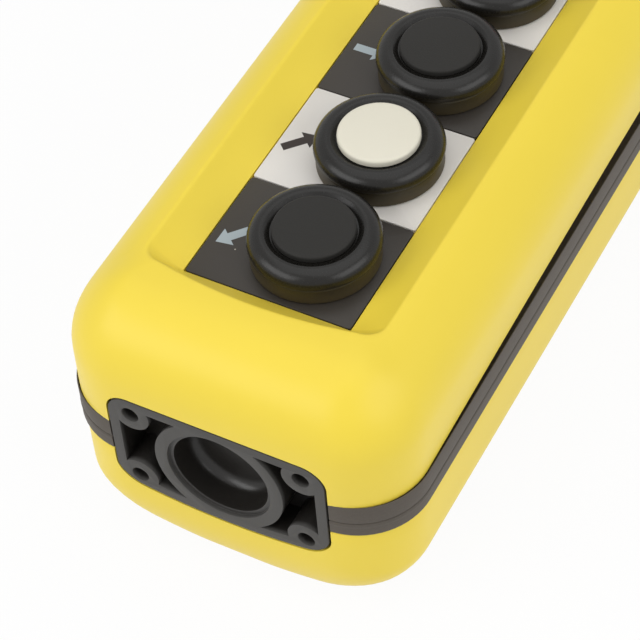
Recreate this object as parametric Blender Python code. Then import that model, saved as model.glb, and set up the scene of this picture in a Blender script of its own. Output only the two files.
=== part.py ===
"""Crane hoist pendant control: a hand-held push-button station that hangs from its cable.

The model lies on its back. +Z is the front, where the buttons are, +Y is the cable end and X is
the width. Metres. The origin is under the middle of the whole part, on the plane of its back.
"""

import math

import bmesh
import bpy
from mathutils import Matrix

MM = 0.001

# Clearance between pieces that touch, rest on or slide in each other
GAP = 0.3 * MM

# Housing shells
BODY_WIDTH = 81.2 * MM
BACK_DEPTH = 32.0 * MM
BAND_HEIGHT = 10.0 * MM
FRONT_DEPTH = 29.0 * MM
WALL = 3.0 * MM
PLAN_CORNER_RADIUS = 16.8 * MM
SMALLEST_CORNER = 0.5 * MM
RIM_RADIUS = 17.5 * MM
BACK_SIDE_RADIUS = 10.5 * MM
BACK_END_RUN = 10.3 * MM
BACK_END_HEIGHT = 18.6 * MM
# The back is crowned: flat along the middle, and this much higher at its sides by a parabola
BACK_CROWN = 6.7 * MM
BACK_FLAT = 16.4 * MM
FRONT_EDGE_GAP = 0.5 * MM
FRONT_EDGE_BOW = 1.4 * MM
LOWER_MARGIN = 25.9 * MM
UPPER_MARGIN = 34.0 * MM

# Recess with the legend plates
BUTTON_COUNT = 6
BUTTON_PITCH = 30.0 * MM
BUTTON_OFFSET = 3.6 * MM
BUTTON_SHIFT = 0.5 * MM
LEGEND_WIDTH = 39.0 * MM
LEGEND_THICKNESS = 1.0 * MM
STOP_PLATE_LENGTH = 46.0 * MM
RECESS_DEPTH = 5.0 * MM
RECESS_CREST = 28.0 * MM
RECESS_END_RUN = 4.3 * MM
RECESS_END_BOW = 1.6 * MM
RECESS_CORNER_RADIUS = 4.0 * MM
# Shares of the flared wall's run and rise, from the legends up to the crest, which hollow it a little
RECESS_SLOPE = ((0.42, 0.33), (0.76, 0.70))
CREST_DROP = 0.7 * MM
CHANNEL_START = 40.0
CHANNEL_END = 68.0
FLOOR_THICKNESS = 2.4 * MM

# Rubber band in the seam
BAND_OVERHANG = 0.9 * MM
BAND_CORNER_RADIUS = 16.5 * MM
BAND_CHAMFER = 0.5 * MM
BAND_GROOVE = 0.6 * MM
TONGUE_THICKNESS = 1.8 * MM
TONGUE_REACH = 3.8 * MM

# End plate with the blanked accessory port
PLATE_WIDTH = 51.4 * MM
PLATE_TOP = 13.8 * MM
PLATE_BOTTOM = 16.2 * MM
PLATE_BOTTOM_SAG = 2.7 * MM
PLATE_TOP_RADIUS = 5.0 * MM
PLATE_BOTTOM_RADIUS = 6.0 * MM
PLATE_DEPTH = 10.4 * MM
PLATE_FRAME = 2.4 * MM
PLATE_CLEARANCE = 0.5 * MM
PLATE_LIP = 2.0 * MM
POCKET_DEPTH = 8.0 * MM
PORT_DROP = 0.9 * MM
PORT_RING_RADIUS = 15.36 * MM
PORT_LEDGE_RADIUS = 12.4 * MM
PORT_LEDGE_DEPTH = 0.9 * MM
PORT_RADIUS = 11.3 * MM
PORT_DEPTH = 8.0 * MM
PORT_FILLET = 2.4 * MM
PLATE_HOLE_RADIUS = 2.05 * MM
PLATE_HOLE_DEPTH = 7.0 * MM
PLATE_BOSS_RADIUS = 4.5 * MM
PLATE_HOLE_SPAN = 40.5 * MM
PLATE_HOLE_HEIGHT = 20.6 * MM
PLATE_HOLE_INSET = 4.3 * MM

# Cable sleeve
SLEEVE_LENGTH = 85.0 * MM
SLEEVE_BORE_RADIUS = 7.0 * MM
SLEEVE_NECK_RADIUS = 15.0 * MM
SLEEVE_COLLAR_RADIUS = 17.5 * MM
SLEEVE_COLLAR = 2.7 * MM
SLEEVE_TIP_RADIUS = 9.5 * MM
SLEEVE_RIBS = 5
SLEEVE_RIB_HEIGHT = 1.6 * MM
SLEEVE_RIB_BACK_HEIGHT = 1.1 * MM
# Shares of the distance between two ribs
SLEEVE_RIB_NOSE = 0.12
SLEEVE_RIB_BACK = 0.5

# Push buttons
BUTTON_TRAVEL = 3.2 * MM
ROLL_RADIUS = 14.6 * MM
ROLL_TOP = 8.9 * MM
ROLL_BOTTOM = 4.4 * MM
ROLL_SHOULDER = 2.8 * MM
CAP_RADIUS = 9.2 * MM
CAP_GROOVE = 0.5 * MM
CAP_EDGE = 0.3 * MM
LIGHT_CAP_RISE = 0.5 * MM
WEB_THICKNESS = 1.0 * MM
NECK_RADIUS = 5.7 * MM
SKIRT_RADIUS = 13.6 * MM
FOOT_THICKNESS = 0.8 * MM
BUSH_RADIUS = 10.8 * MM
BUSH_WALL = 2.1 * MM
BUSH_FLANGE = 1.2 * MM
BUSH_FLANGE_THICKNESS = 0.8 * MM
BUSH_LENGTH = 13.4 * MM
LEDGE_THICKNESS = 1.2 * MM
NUT_RADIUS = 13.6 * MM
NUT_THICKNESS = 3.0 * MM
CREASE_DEPTH = 0.8 * MM
PLUNGER_HEAD_RADIUS = 8.2 * MM
PLUNGER_HEAD = 1.2 * MM
STEM_RADIUS = 3.2 * MM
STEM_REACH = 3.7 * MM
SPIGOT_RADIUS = 2.6 * MM
SPIGOT_LENGTH = 1.8 * MM
SPRING_RADIUS = 5.6 * MM
SPRING_WIRE = 0.9 * MM
SPRING_TURNS = 3.0

# Emergency stop
STOP_TRAVEL = 5.0 * MM
MUSHROOM_RADIUS = 19.5 * MM
MUSHROOM_HEIGHT = 9.7 * MM
MUSHROOM_CROWN = 0.9 * MM
MUSHROOM_EDGE = 4.5 * MM
MUSHROOM_EDGE_TURN = 75.0
MUSHROOM_NECK_RADIUS = 12.6 * MM
MUSHROOM_NECK_WALL = 3.1 * MM
BEZEL_HEIGHT = 9.2 * MM
BEZEL_WALL = 3.0 * MM
STOP_SPIGOT_RADIUS = 5.0 * MM
STOP_SPIGOT_DEPTH = 4.0 * MM
STOP_SOCKET_ROOF = 1.0 * MM

# Switching parts and fasteners inside
BLOCK_WIDTH = 26.0 * MM
BLOCK_LENGTH = 25.6 * MM
BLOCK_HEIGHT = 24.0 * MM
BLOCK_TOWER_WIDTH = 18.0 * MM
BLOCK_TOWER_HEIGHT = 10.0 * MM
WELL_MARGIN = 0.5 * MM
RAIL_WIDTH = 14.0 * MM
RAIL_THICKNESS = 2.0 * MM
RAIL_OVERLAP = 12.0 * MM
RAIL_PEG_INSET = 6.0 * MM
POST_RADIUS = 4.6 * MM
PEG_RADIUS = 2.2 * MM
PEG_HEIGHT = 1.0 * MM
TERMINAL_RADIUS = 2.2 * MM
TERMINAL_HEIGHT = 1.2 * MM
TERMINAL_INSET = 2.6 * MM
SCREW_RADIUS = 1.9 * MM
SCREW_HEAD_RADIUS = 3.5 * MM
SCREW_HEAD_TOP_RADIUS = 3.0 * MM
SCREW_HEAD_HEIGHT = 2.8 * MM
SCREW_LENGTH = 44.0 * MM
SCREW_BOSS_RADIUS = 3.6 * MM
SCREW_POCKET_RADIUS = 4.4 * MM
SCREW_POCKET_DEPTH = 11.0 * MM
SCREW_POCKET_WALL = 2.1 * MM
SCREW_END_INSET = 42.0 * MM

# Facets
CORNER_STEPS = 4
RIM_STEPS = 5
ROUND_STEPS = 18
PORT_STEPS = 32
BORE_STEPS = 10
SMALL_STEPS = 8
SMOOTH_ANGLE = math.radians(35.0)

# Levels above the back face
BAND_BOTTOM = BACK_DEPTH
BAND_TOP = BAND_BOTTOM + BAND_HEIGHT
SEAM = BAND_BOTTOM + BAND_HEIGHT / 2
RIM_TOP = BAND_TOP + FRONT_DEPTH
LEGEND_FACE = RIM_TOP - RECESS_DEPTH
FLOOR_TOP = LEGEND_FACE - LEGEND_THICKNESS - GAP
FLOOR_BOTTOM = FLOOR_TOP - FLOOR_THICKNESS
SEAT = LEGEND_FACE + GAP
FLANGE_BOTTOM = SEAT + FOOT_THICKNESS + GAP
FLANGE_TOP = FLANGE_BOTTOM + BUSH_FLANGE_THICKNESS
BUSH_BOTTOM = FLANGE_BOTTOM - BUSH_LENGTH
LEDGE_TOP = BUSH_BOTTOM + BUSH_WALL + LEDGE_THICKNESS
BLOCK_TOP = BUSH_BOTTOM - GAP
BLOCK_BOTTOM = BLOCK_TOP - BLOCK_HEIGHT
RAIL_TOP = BLOCK_BOTTOM - GAP
RAIL_BOTTOM = RAIL_TOP - RAIL_THICKNESS
STEM_BOTTOM = BLOCK_TOP - STEM_REACH
WEB_BOTTOM = FLANGE_TOP + BUTTON_TRAVEL + 2 * GAP
WEB_TOP = WEB_BOTTOM + WEB_THICKNESS
HEAD_TOP = WEB_BOTTOM - GAP
PORT_LEVEL = SEAM - PORT_DROP
BEZEL_TOP = SEAT + BEZEL_HEIGHT
MUSHROOM_BOTTOM = BEZEL_TOP + STOP_TRAVEL + 2 * GAP

# Places along and across the body
HOUSING_LENGTH = LOWER_MARGIN + BUTTON_COUNT * BUTTON_PITCH + STOP_PLATE_LENGTH + UPPER_MARGIN
LOW_END = -(HOUSING_LENGTH + SLEEVE_LENGTH) / 2
HIGH_END = LOW_END + HOUSING_LENGTH
LEGEND_START = LOW_END + LOWER_MARGIN
STOP_START = LEGEND_START + BUTTON_COUNT * BUTTON_PITCH
STOP_CENTRE = STOP_START + STOP_PLATE_LENGTH / 2
LEGEND_END = STOP_START + STOP_PLATE_LENGTH
BAND_SIDE = BODY_WIDTH / 2 + BAND_OVERHANG
TONGUE_OUTER = BAND_OVERHANG + WALL + GAP
TONGUE_INNER = TONGUE_OUTER + TONGUE_THICKNESS
SCREW_ACROSS = BAND_SIDE - TONGUE_INNER - GAP - SCREW_BOSS_RADIUS
BUSH_BORE_RADIUS = BUSH_RADIUS - BUSH_WALL
HOLE_RADIUS = BUSH_RADIUS + GAP

BUTTON_PLACES = [
    LEGEND_START + BUTTON_PITCH * (i + 0.5) + BUTTON_SHIFT for i in range(BUTTON_COUNT)
]
SWITCH_PLACES = BUTTON_PLACES + [STOP_CENTRE]
SCREW_PLACES = [LOW_END + SCREW_END_INSET, HIGH_END - SCREW_END_INSET]
RAIL_START = BUTTON_PLACES[0] - BLOCK_LENGTH / 2 - RAIL_OVERLAP
RAIL_END = STOP_CENTRE + BLOCK_LENGTH / 2 + RAIL_OVERLAP
RAIL_SPAN = RAIL_END - RAIL_START - 2.0 * RAIL_PEG_INSET
POST_PLACES = [RAIL_START + RAIL_PEG_INSET + RAIL_SPAN * i / 3 for i in range(4)]
PEG_PLACES = [POST_PLACES[0], POST_PLACES[-1]]

# Turns a shape built along +Z so that it runs along +Y
ALONG_Y = Matrix.Rotation(-math.pi / 2, 4, "X")


def clear_scene():
    for old in list(bpy.data.objects):
        bpy.data.objects.remove(old, do_unlink=True)


def finish(name, colour, roughness, metallic=0.0):
    made = bpy.data.materials.new(name)
    made.use_nodes = True
    shader = made.node_tree.nodes["Principled BSDF"]
    shader.inputs["Base Color"].default_value = (*colour, 1.0)
    shader.inputs["Roughness"].default_value = roughness
    shader.inputs["Metallic"].default_value = metallic
    return made


def at(x, y, z=0.0):
    return Matrix.Translation((x, y, z))


def arc(centre_x, centre_y, radius, start, end, steps):
    """Points of an arc, ends included. Angles in degrees."""
    points = []
    for step in range(steps + 1):
        angle = math.radians(start + (end - start) * step / steps)
        points.append((centre_x + radius * math.cos(angle), centre_y + radius * math.sin(angle)))
    return points


def circle(radius, steps):
    return arc(0.0, 0.0, radius, 0.0, 360.0, steps)[:-1]


def box_outline(x_low, x_high, y_low, y_high):
    return [(x_low, y_low), (x_high, y_low), (x_high, y_high), (x_low, y_high)]


def walls(bm, rings):
    """Joins rings of points with side faces."""
    loops = [[bm.verts.new(point) for point in ring] for ring in rings]
    for lower, upper in zip(loops, loops[1:]):
        for i in range(len(lower)):
            j = (i + 1) % len(lower)
            bm.faces.new((lower[i], lower[j], upper[j], upper[i]))
    return loops


def skin(bm, rings):
    """Joins rings of points with side faces and closes the first and the last."""
    loops = walls(bm, rings)
    bm.faces.new(loops[0][::-1])
    bm.faces.new(loops[-1])


def crowned_skin(bm, rings):
    """As skin, but strips from end to end close the first ring, a plan outline that isn't flat."""
    loops = walls(bm, rings)
    half = len(loops[0]) // 2
    start = CORNER_STEPS + 1
    high = loops[0][start : start + half]
    low = (loops[0][start + half :] + loops[0][:start])[::-1]
    for i in range(half - 1):
        bm.faces.new((low[i], low[i + 1], high[i + 1], high[i]))
    bm.faces.new(loops[-1])


def prism(bm, outline, low, high, place=Matrix.Identity(4)):
    """Extrudes an outline of (x, y) points from low to high."""
    rings = []
    for z in (low, high):
        rings.append([place @ at(x, y, z).to_translation() for x, y in outline])
    skin(bm, rings)


def turn(bm, profile, steps, place=Matrix.Identity(4)):
    """Turns a closed outline of (radius, height) points about Z. Radius 0 is a pole."""
    rings = []
    for radius, height in profile:
        if radius == 0.0:
            rings.append([bm.verts.new(place @ at(0.0, 0.0, height).to_translation())] * steps)
        else:
            around = circle(radius, steps)
            rings.append([bm.verts.new(place @ at(x, y, height).to_translation()) for x, y in around])
    for first, second in zip(rings, rings[1:] + rings[:1]):
        for i in range(steps):
            j = (i + 1) % steps
            corners = list(dict.fromkeys((first[i], first[j], second[j], second[i])))
            if len(corners) > 2:
                bm.faces.new(corners)


def rod(bm, radius, low, high, steps, place=Matrix.Identity(4)):
    prism(bm, circle(radius, steps), low, high, place)


def node(name, bm, colour=None, location=(0.0, 0.0, 0.0)):
    """Makes an object from the shapes gathered in bm."""
    bmesh.ops.recalc_face_normals(bm, faces=bm.faces)
    mesh = bpy.data.meshes.new(name)
    bm.to_mesh(mesh)
    bm.free()
    mesh.shade_smooth()
    mesh.set_sharp_from_angle(angle=SMOOTH_ANGLE)
    if colour:
        mesh.materials.append(colour)
    made = bpy.data.objects.new(name, mesh)
    made.location = location
    bpy.context.scene.collection.objects.link(made)
    return made


def copy_of(original, name, location):
    made = bpy.data.objects.new(name, original.data)
    made.location = location
    bpy.context.scene.collection.objects.link(made)
    return made


def combine(target, other, operation):
    """Adds a Boolean of target with a helper, which is left out of renders."""
    other.hide_render = True
    other.display_type = "WIRE"
    modifier = target.modifiers.new(other.name, "BOOLEAN")
    modifier.operation = operation
    modifier.solver = "EXACT"
    modifier.object = other


def cut(target, other):
    combine(target, other, "DIFFERENCE")


def join(target, other):
    combine(target, other, "UNION")


def plan(half_width, low, high, radius, level, bow=0.0, end_steps=1):
    """Rounded rectangle seen from above, anticlockwise, with its two ends bowed outwards."""
    radius = max(radius, SMALLEST_CORNER)
    across = half_width - radius
    corners = [
        (across, low + radius, -90.0),
        (across, high - radius, 0.0),
        (-across, high - radius, 90.0),
        (-across, low + radius, 180.0),
    ]
    points = []
    for x, y, start in corners:
        points += arc(x, y, radius, start, start + 90.0, CORNER_STEPS)
        if start == 0.0:
            points += bowed_end(across, high, bow, end_steps)
        if start == 180.0:
            points += [(-x, y) for x, y in bowed_end(across, low, -bow, end_steps)]
    return [(x, y, level) for x, y in points]


def bowed_end(across, y, bow, steps):
    """Points between the two corners of an end, from +X to -X."""
    points = []
    for step in range(1, steps):
        share = 1.0 - 2.0 * step / steps
        points.append((across * share, y + bow * (1.0 - share * share)))
    return points


def front_rings(inset):
    """Plan outlines of the front shell, outside for an inset of 0 and inside for the wall."""
    radius = RIM_RADIUS - inset
    centre = RIM_TOP - RIM_RADIUS
    top = 90.0
    if inset:
        top = math.degrees(math.asin((FLOOR_BOTTOM - centre) / radius))
    rings = []
    for step in range(RIM_STEPS + 1):
        angle = math.radians(top * step / RIM_STEPS)
        drawn_in = radius * (1.0 - math.cos(angle)) + inset
        rings.append(
            plan(
                BODY_WIDTH / 2 - drawn_in,
                LOW_END + drawn_in,
                HIGH_END - drawn_in,
                PLAN_CORNER_RADIUS - drawn_in,
                centre + radius * math.sin(angle),
            )
        )
    return rings


def crown(x):
    return BACK_CROWN * max((2.0 * x / BODY_WIDTH) ** 2 - (BACK_FLAT / BODY_WIDTH) ** 2, 0.0)


def back_rings(inset):
    """Plan outlines of the back shell, from its crowned back up to the end of its rounded edge."""
    side_radius = BACK_SIDE_RADIUS - inset
    end_height = BACK_END_HEIGHT - inset
    corner = PLAN_CORNER_RADIUS - inset
    rings = []
    for step in range(RIM_STEPS + 1):
        angle = math.radians(90.0 * step / RIM_STEPS)
        half_width = BODY_WIDTH / 2 - side_radius * (1.0 - math.sin(angle)) - inset
        end = (BACK_END_RUN - inset) * (1.0 - math.sin(angle)) + inset
        ring = []
        for x, y, level in plan(half_width, LOW_END + end, HIGH_END - end, corner, inset, end_steps=5):
            share = min(max((abs(x) - half_width + corner) / corner, 0.0), 1.0)
            share = share * share * (3.0 - 2.0 * share)
            height = end_height + (side_radius - end_height) * share
            ring.append((x, y, level + height * (1.0 - math.cos(angle)) + crown(x)))
        rings.append(ring)
    return rings


def raised(ring, level):
    return [(x, y, level) for x, y, z in ring]


def recess_cutter():
    """The trough that holds the legends: an upright step, then walls that flare to the crest."""
    edge = LEGEND_WIDTH / 2 + GAP
    run = RECESS_CREST - edge
    rise = RECESS_DEPTH - CREST_DROP
    above = (rise + 2.0 * CREST_DROP + GAP) / rise
    levels = [
        (0.0, FLOOR_TOP),
        (0.0, LEGEND_FACE),
        *((run_share, LEGEND_FACE + rise_share * rise) for run_share, rise_share in RECESS_SLOPE),
        (1.0, LEGEND_FACE + rise),
        (above, LEGEND_FACE + above * rise),
    ]
    rings = []
    for share, level in levels:
        end_run = share * RECESS_END_RUN + GAP
        rings.append(
            plan(
                edge + share * run,
                LEGEND_START - end_run,
                LEGEND_END + end_run,
                share * RECESS_CORNER_RADIUS,
                level,
                bow=share * RECESS_END_BOW,
                end_steps=6,
            )
        )
    bm = bmesh.new()
    skin(bm, rings)
    return node("recess_cutter", bm)


def rim_channels_cutter():
    """Hollows under the two thick rims, so that the wall stays even."""
    bm = bmesh.new()
    inner = BODY_WIDTH / 2 - RIM_RADIUS
    centre = RIM_TOP - RIM_RADIUS
    hollow = RIM_RADIUS - WALL
    foot = FLOOR_BOTTOM - GAP
    outline = [(inner - GAP, foot)]
    outline += arc(inner, centre, hollow, CHANNEL_START, CHANNEL_END, 3)
    outline.insert(1, (outline[1][0], foot))
    for side in (1.0, -1.0):
        rings = []
        for y in (LEGEND_START, LEGEND_END):
            rings.append([(side * x, y, z) for x, z in outline])
        skin(bm, rings)
    return node("rim_channels_cutter", bm)


def edge_bow_cutter():
    """A long flat lens under the front shell, because its lower edge bows away from the band."""
    low = LOW_END + PLAN_CORNER_RADIUS
    high = HIGH_END - PLAN_CORNER_RADIUS
    edge = BAND_TOP + FRONT_EDGE_GAP
    steps = 12
    outline = [(high, edge - FRONT_EDGE_BOW), (low, edge - FRONT_EDGE_BOW)]
    for step in range(steps + 1):
        share = 2.0 * step / steps - 1.0
        outline.append((low + (high - low) * step / steps, edge + FRONT_EDGE_BOW * (1.0 - share * share)))
    bm = bmesh.new()
    skin(bm, [[(x, y, z) for y, z in outline] for x in (-BODY_WIDTH, BODY_WIDTH)])
    return node("edge_bow_cutter", bm)


def columns(name, radius, low, high):
    """Round columns on the axes of the housing screws."""
    bm = bmesh.new()
    for y in SCREW_PLACES:
        for x in (-SCREW_ACROSS, SCREW_ACROSS):
            rod(bm, radius, low, high, SMALL_STEPS, at(x, y))
    return node(name, bm)


def switch_holes_cutter():
    bm = bmesh.new()
    for y in SWITCH_PLACES:
        rod(bm, HOLE_RADIUS, FLOOR_BOTTOM - WALL, SEAT + WALL, BORE_STEPS, at(BUTTON_OFFSET, y))
    return node("switch_holes_cutter", bm)


def plate_outline(offset):
    """Outline of the end plate as (x, height) points, grown outwards by an offset."""
    half = PLATE_WIDTH / 2 + offset
    top = SEAM + PLATE_TOP + offset
    bottom = SEAM - PLATE_BOTTOM - offset
    top_radius = max(PLATE_TOP_RADIUS + offset, GAP)
    radius = max(PLATE_BOTTOM_RADIUS + offset, GAP)

    def edge(x):
        return bottom + PLATE_BOTTOM_SAG * (x / half) ** 2

    lean = math.atan(2.0 * PLATE_BOTTOM_SAG * (half - radius) / (half * half))
    start = half - radius + radius * math.sin(lean)
    centre = edge(start) + radius * math.cos(lean)
    points = arc(half - radius, centre, radius, math.degrees(lean) - 90.0, 0.0, CORNER_STEPS)
    points += arc(half - top_radius, top - top_radius, top_radius, 0.0, 90.0, CORNER_STEPS)
    points += [(-x, z) for x, z in reversed(points)]
    steps = 8
    for step in range(1, steps):
        x = start * (2.0 * step / steps - 1.0)
        points.append((x, edge(x)))
    return points


def plate_slab(bm, outline, front, back):
    """Extrudes an (x, height) outline along Y, counted from the lower end face."""
    skin(bm, [[(x, LOW_END + y, z) for x, z in outline] for y in (front, back)])


def plate_opening_cutter():
    bm = bmesh.new()
    plate_slab(bm, plate_outline(PLATE_CLEARANCE), -WALL, 2.0 * WALL)
    return node("plate_opening_cutter", bm)


def sleeve_opening_cutter():
    bm = bmesh.new()
    place = at(0.0, HIGH_END, SEAM) @ ALONG_Y
    rod(bm, SLEEVE_NECK_RADIUS + GAP, -WALL - GAP, WALL, ROUND_STEPS, place)
    return node("sleeve_opening_cutter", bm)


def front_shell(colour, switch_holes, openings):
    outer = front_rings(0.0)
    bm = bmesh.new()
    skin(bm, [raised(outer[0], BAND_TOP + FRONT_EDGE_GAP)] + outer)
    shell = node("front_shell", bm, colour)

    inner = front_rings(WALL)
    bm = bmesh.new()
    skin(bm, [raised(inner[0], BAND_TOP - WALL)] + inner)
    cut(shell, node("front_cavity_cutter", bm))
    cut(shell, rim_channels_cutter())
    cut(shell, recess_cutter())
    cut(shell, edge_bow_cutter())
    join(shell, columns("front_columns", SCREW_BOSS_RADIUS, SEAM + GAP, FLOOR_BOTTOM + FLOOR_THICKNESS))
    cut(shell, columns("front_thread_holes", SCREW_RADIUS + GAP, SEAM - GAP, screw_tip() + GAP))
    cut(shell, switch_holes)
    for opening in openings:
        cut(shell, opening)
    return shell


def screw_seat():
    return SCREW_POCKET_DEPTH - GAP


def screw_tip():
    return screw_seat() + SCREW_LENGTH


def back_shell(colour, openings):
    top = BAND_BOTTOM - GAP
    outer = back_rings(0.0)
    bm = bmesh.new()
    crowned_skin(bm, outer + [raised(outer[-1], top)])
    shell = node("back_shell", bm, colour)

    inner = back_rings(WALL)
    bm = bmesh.new()
    crowned_skin(bm, inner + [raised(inner[-1], BAND_TOP)])
    cavity = node("back_cavity_cutter", bm)
    pocket_top = SCREW_POCKET_DEPTH + WALL
    pocket_boss = SCREW_POCKET_RADIUS + SCREW_POCKET_WALL
    cut(cavity, columns("pocket_bosses", pocket_boss, GAP, pocket_top))
    cut(shell, cavity)
    join(shell, posts("rail_posts", POST_PLACES, POST_RADIUS, WALL - GAP, RAIL_BOTTOM - GAP))
    join(shell, posts("rail_pegs", PEG_PLACES, PEG_RADIUS, RAIL_BOTTOM - WALL, RAIL_TOP + PEG_HEIGHT))
    join(shell, columns("back_columns", SCREW_BOSS_RADIUS, pocket_top - WALL / 2, SEAM - GAP))
    cut(shell, columns("screw_pockets", SCREW_POCKET_RADIUS, -WALL, SCREW_POCKET_DEPTH))
    cut(shell, columns("screw_clearance_holes", SCREW_RADIUS + GAP, GAP, SEAM + GAP))
    for opening in openings:
        cut(shell, opening)
    return shell


def posts(name, places, radius, low, high):
    """Round posts or pegs under the middle line of the mounting rail."""
    bm = bmesh.new()
    for y in places:
        rod(bm, radius, low, high, SMALL_STEPS, at(BUTTON_OFFSET, y))
    return node(name, bm)


def band_stations(plate_edge, sleeve_edge):
    """Points on the outer face of the right band with their inward directions."""
    centre = BAND_SIDE - BAND_CORNER_RADIUS
    start = math.degrees(math.asin(max(plate_edge - centre, 0.0) / BAND_CORNER_RADIUS))
    stations = []
    if plate_edge < centre:
        stations.append(((plate_edge, LOW_END), (0.0, 1.0)))
    for x, y in arc(0.0, 0.0, 1.0, start - 90.0, 0.0, CORNER_STEPS):
        place = (centre + BAND_CORNER_RADIUS * x, LOW_END + BAND_CORNER_RADIUS * (1.0 + y))
        stations.append((place, (-x, -y)))
    for x, y in arc(0.0, 0.0, 1.0, 0.0, 90.0, CORNER_STEPS):
        place = (centre + BAND_CORNER_RADIUS * x, HIGH_END + BAND_CORNER_RADIUS * (y - 1.0))
        stations.append((place, (-x, -y)))
    stations.append(((sleeve_edge, HIGH_END), (0.0, -1.0)))
    return stations


def band_section():
    """Section of the band as (depth inwards, height): a grooved face and two tongues behind it."""
    low = BAND_BOTTOM
    high = BAND_TOP - GAP
    return [
        (BAND_CHAMFER, low),
        (0.0, low + BAND_CHAMFER),
        (0.0, SEAM - BAND_GROOVE),
        (BAND_GROOVE, SEAM),
        (0.0, SEAM + BAND_GROOVE),
        (0.0, high - BAND_CHAMFER),
        (BAND_CHAMFER, high),
        (TONGUE_OUTER, high),
        (TONGUE_OUTER, high + TONGUE_REACH),
        (TONGUE_INNER, high + TONGUE_REACH),
        (TONGUE_INNER, low - TONGUE_REACH),
        (TONGUE_OUTER, low - TONGUE_REACH),
        (TONGUE_OUTER, low),
    ]


def seam_band(name, side, colour):
    plate_edge = PLATE_WIDTH / 2 + PLATE_CLEARANCE
    sleeve_edge = SLEEVE_COLLAR_RADIUS + PLATE_CLEARANCE
    rings = []
    for (x, y), (inward_x, inward_y) in band_stations(plate_edge, sleeve_edge):
        ring = []
        for depth, level in band_section():
            ring.append((side * (x + depth * inward_x), y + depth * inward_y, level))
        rings.append(ring)
    bm = bmesh.new()
    skin(bm, rings)
    return node(name, bm, colour)


def plate_hole_places():
    """Centres of the four holes as (x, height)."""
    high = SEAM + PLATE_TOP - PLATE_HOLE_INSET
    across = PLATE_HOLE_SPAN / 2
    return [(x, z) for x in (-across, across) for z in (high, high - PLATE_HOLE_HEIGHT)]


def end_plate(colour):
    bm = bmesh.new()
    plate_slab(bm, plate_outline(0.0), 0.0, PLATE_DEPTH)
    plate = node("end_plate", bm, colour)

    bm = bmesh.new()
    reach = PLATE_WIDTH / 2 - PLATE_TOP_RADIUS
    top = SEAM + PLATE_TOP
    bottom = SEAM - PLATE_BOTTOM
    lips = box_outline(-reach, reach, bottom - PLATE_LIP, top + PLATE_LIP)
    plate_slab(bm, lips, WALL + GAP, WALL + GAP + PLATE_LIP)
    join(plate, node("plate_lips", bm))

    bm = bmesh.new()
    plate_slab(bm, plate_outline(-PLATE_FRAME), -WALL, POCKET_DEPTH)
    pockets = node("plate_pockets", bm)
    bm = bmesh.new()
    port = at(0.0, LOW_END, PORT_LEVEL) @ ALONG_Y
    rod(bm, PORT_RING_RADIUS, -2.0 * WALL, PLATE_DEPTH, PORT_STEPS, port)
    cut(pockets, node("port_ring", bm))
    bm = bmesh.new()
    for x, z in plate_hole_places():
        rod(bm, PLATE_BOSS_RADIUS, -2.0 * WALL, PLATE_DEPTH, BORE_STEPS, at(x, LOW_END, z) @ ALONG_Y)
    cut(pockets, node("plate_bosses", bm))
    cut(plate, pockets)

    bm = bmesh.new()
    dish = [
        (0.0, -WALL),
        (PORT_LEDGE_RADIUS, -WALL),
        (PORT_LEDGE_RADIUS, PORT_LEDGE_DEPTH),
        (PORT_RADIUS, PORT_LEDGE_DEPTH),
    ]
    fillet_x = PORT_RADIUS - PORT_FILLET
    dish += arc(fillet_x, PORT_DEPTH - PORT_FILLET, PORT_FILLET, 0.0, 90.0, 3)
    dish.append((0.0, PORT_DEPTH))
    turn(bm, dish, PORT_STEPS, port)
    cut(plate, node("port_dish", bm))

    bm = bmesh.new()
    for x, z in plate_hole_places():
        rod(bm, PLATE_HOLE_RADIUS, -WALL, PLATE_HOLE_DEPTH, BORE_STEPS, at(x, LOW_END, z) @ ALONG_Y)
    cut(plate, node("plate_holes", bm))
    return plate


def cable_sleeve(colour):
    """Tapered rubber sleeve with ribs, gripping the end walls between two collars."""
    inner_end = -WALL - GAP - SLEEVE_COLLAR
    profile = [
        (SLEEVE_BORE_RADIUS, inner_end),
        (SLEEVE_COLLAR_RADIUS, inner_end),
        (SLEEVE_COLLAR_RADIUS, -WALL - GAP),
        (SLEEVE_NECK_RADIUS, -WALL - GAP),
        (SLEEVE_NECK_RADIUS, GAP),
        (SLEEVE_COLLAR_RADIUS, GAP),
        (SLEEVE_COLLAR_RADIUS, GAP + SLEEVE_COLLAR),
    ]
    start = GAP + SLEEVE_COLLAR
    root = SLEEVE_COLLAR_RADIUS - SLEEVE_RIB_HEIGHT
    step = (SLEEVE_LENGTH - start) / (SLEEVE_RIBS + 0.5)
    for rib in range(SLEEVE_RIBS):
        low = start + step * (rib + 0.5)
        radius = root + (SLEEVE_TIP_RADIUS - root) * (low - start) / (SLEEVE_LENGTH - start)
        profile.append((radius, low))
        profile.append((radius + SLEEVE_RIB_HEIGHT, low + step * SLEEVE_RIB_NOSE))
        profile.append((radius + SLEEVE_RIB_BACK_HEIGHT, low + step * SLEEVE_RIB_BACK))
    profile.append((SLEEVE_TIP_RADIUS, SLEEVE_LENGTH))
    profile.append((SLEEVE_BORE_RADIUS, SLEEVE_LENGTH))
    bm = bmesh.new()
    turn(bm, profile, ROUND_STEPS, at(0.0, HIGH_END, SEAM) @ ALONG_Y)
    return node("cable_sleeve", bm, colour)


def legend_plate(name, start, length, colour, switch_holes):
    half = LEGEND_WIDTH / 2
    bm = bmesh.new()
    outline = box_outline(-half, half, start + GAP / 2, start + length - GAP / 2)
    prism(bm, outline, LEGEND_FACE - LEGEND_THICKNESS, LEGEND_FACE)
    plate = node(name, bm, colour)
    cut(plate, switch_holes)
    return plate


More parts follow.
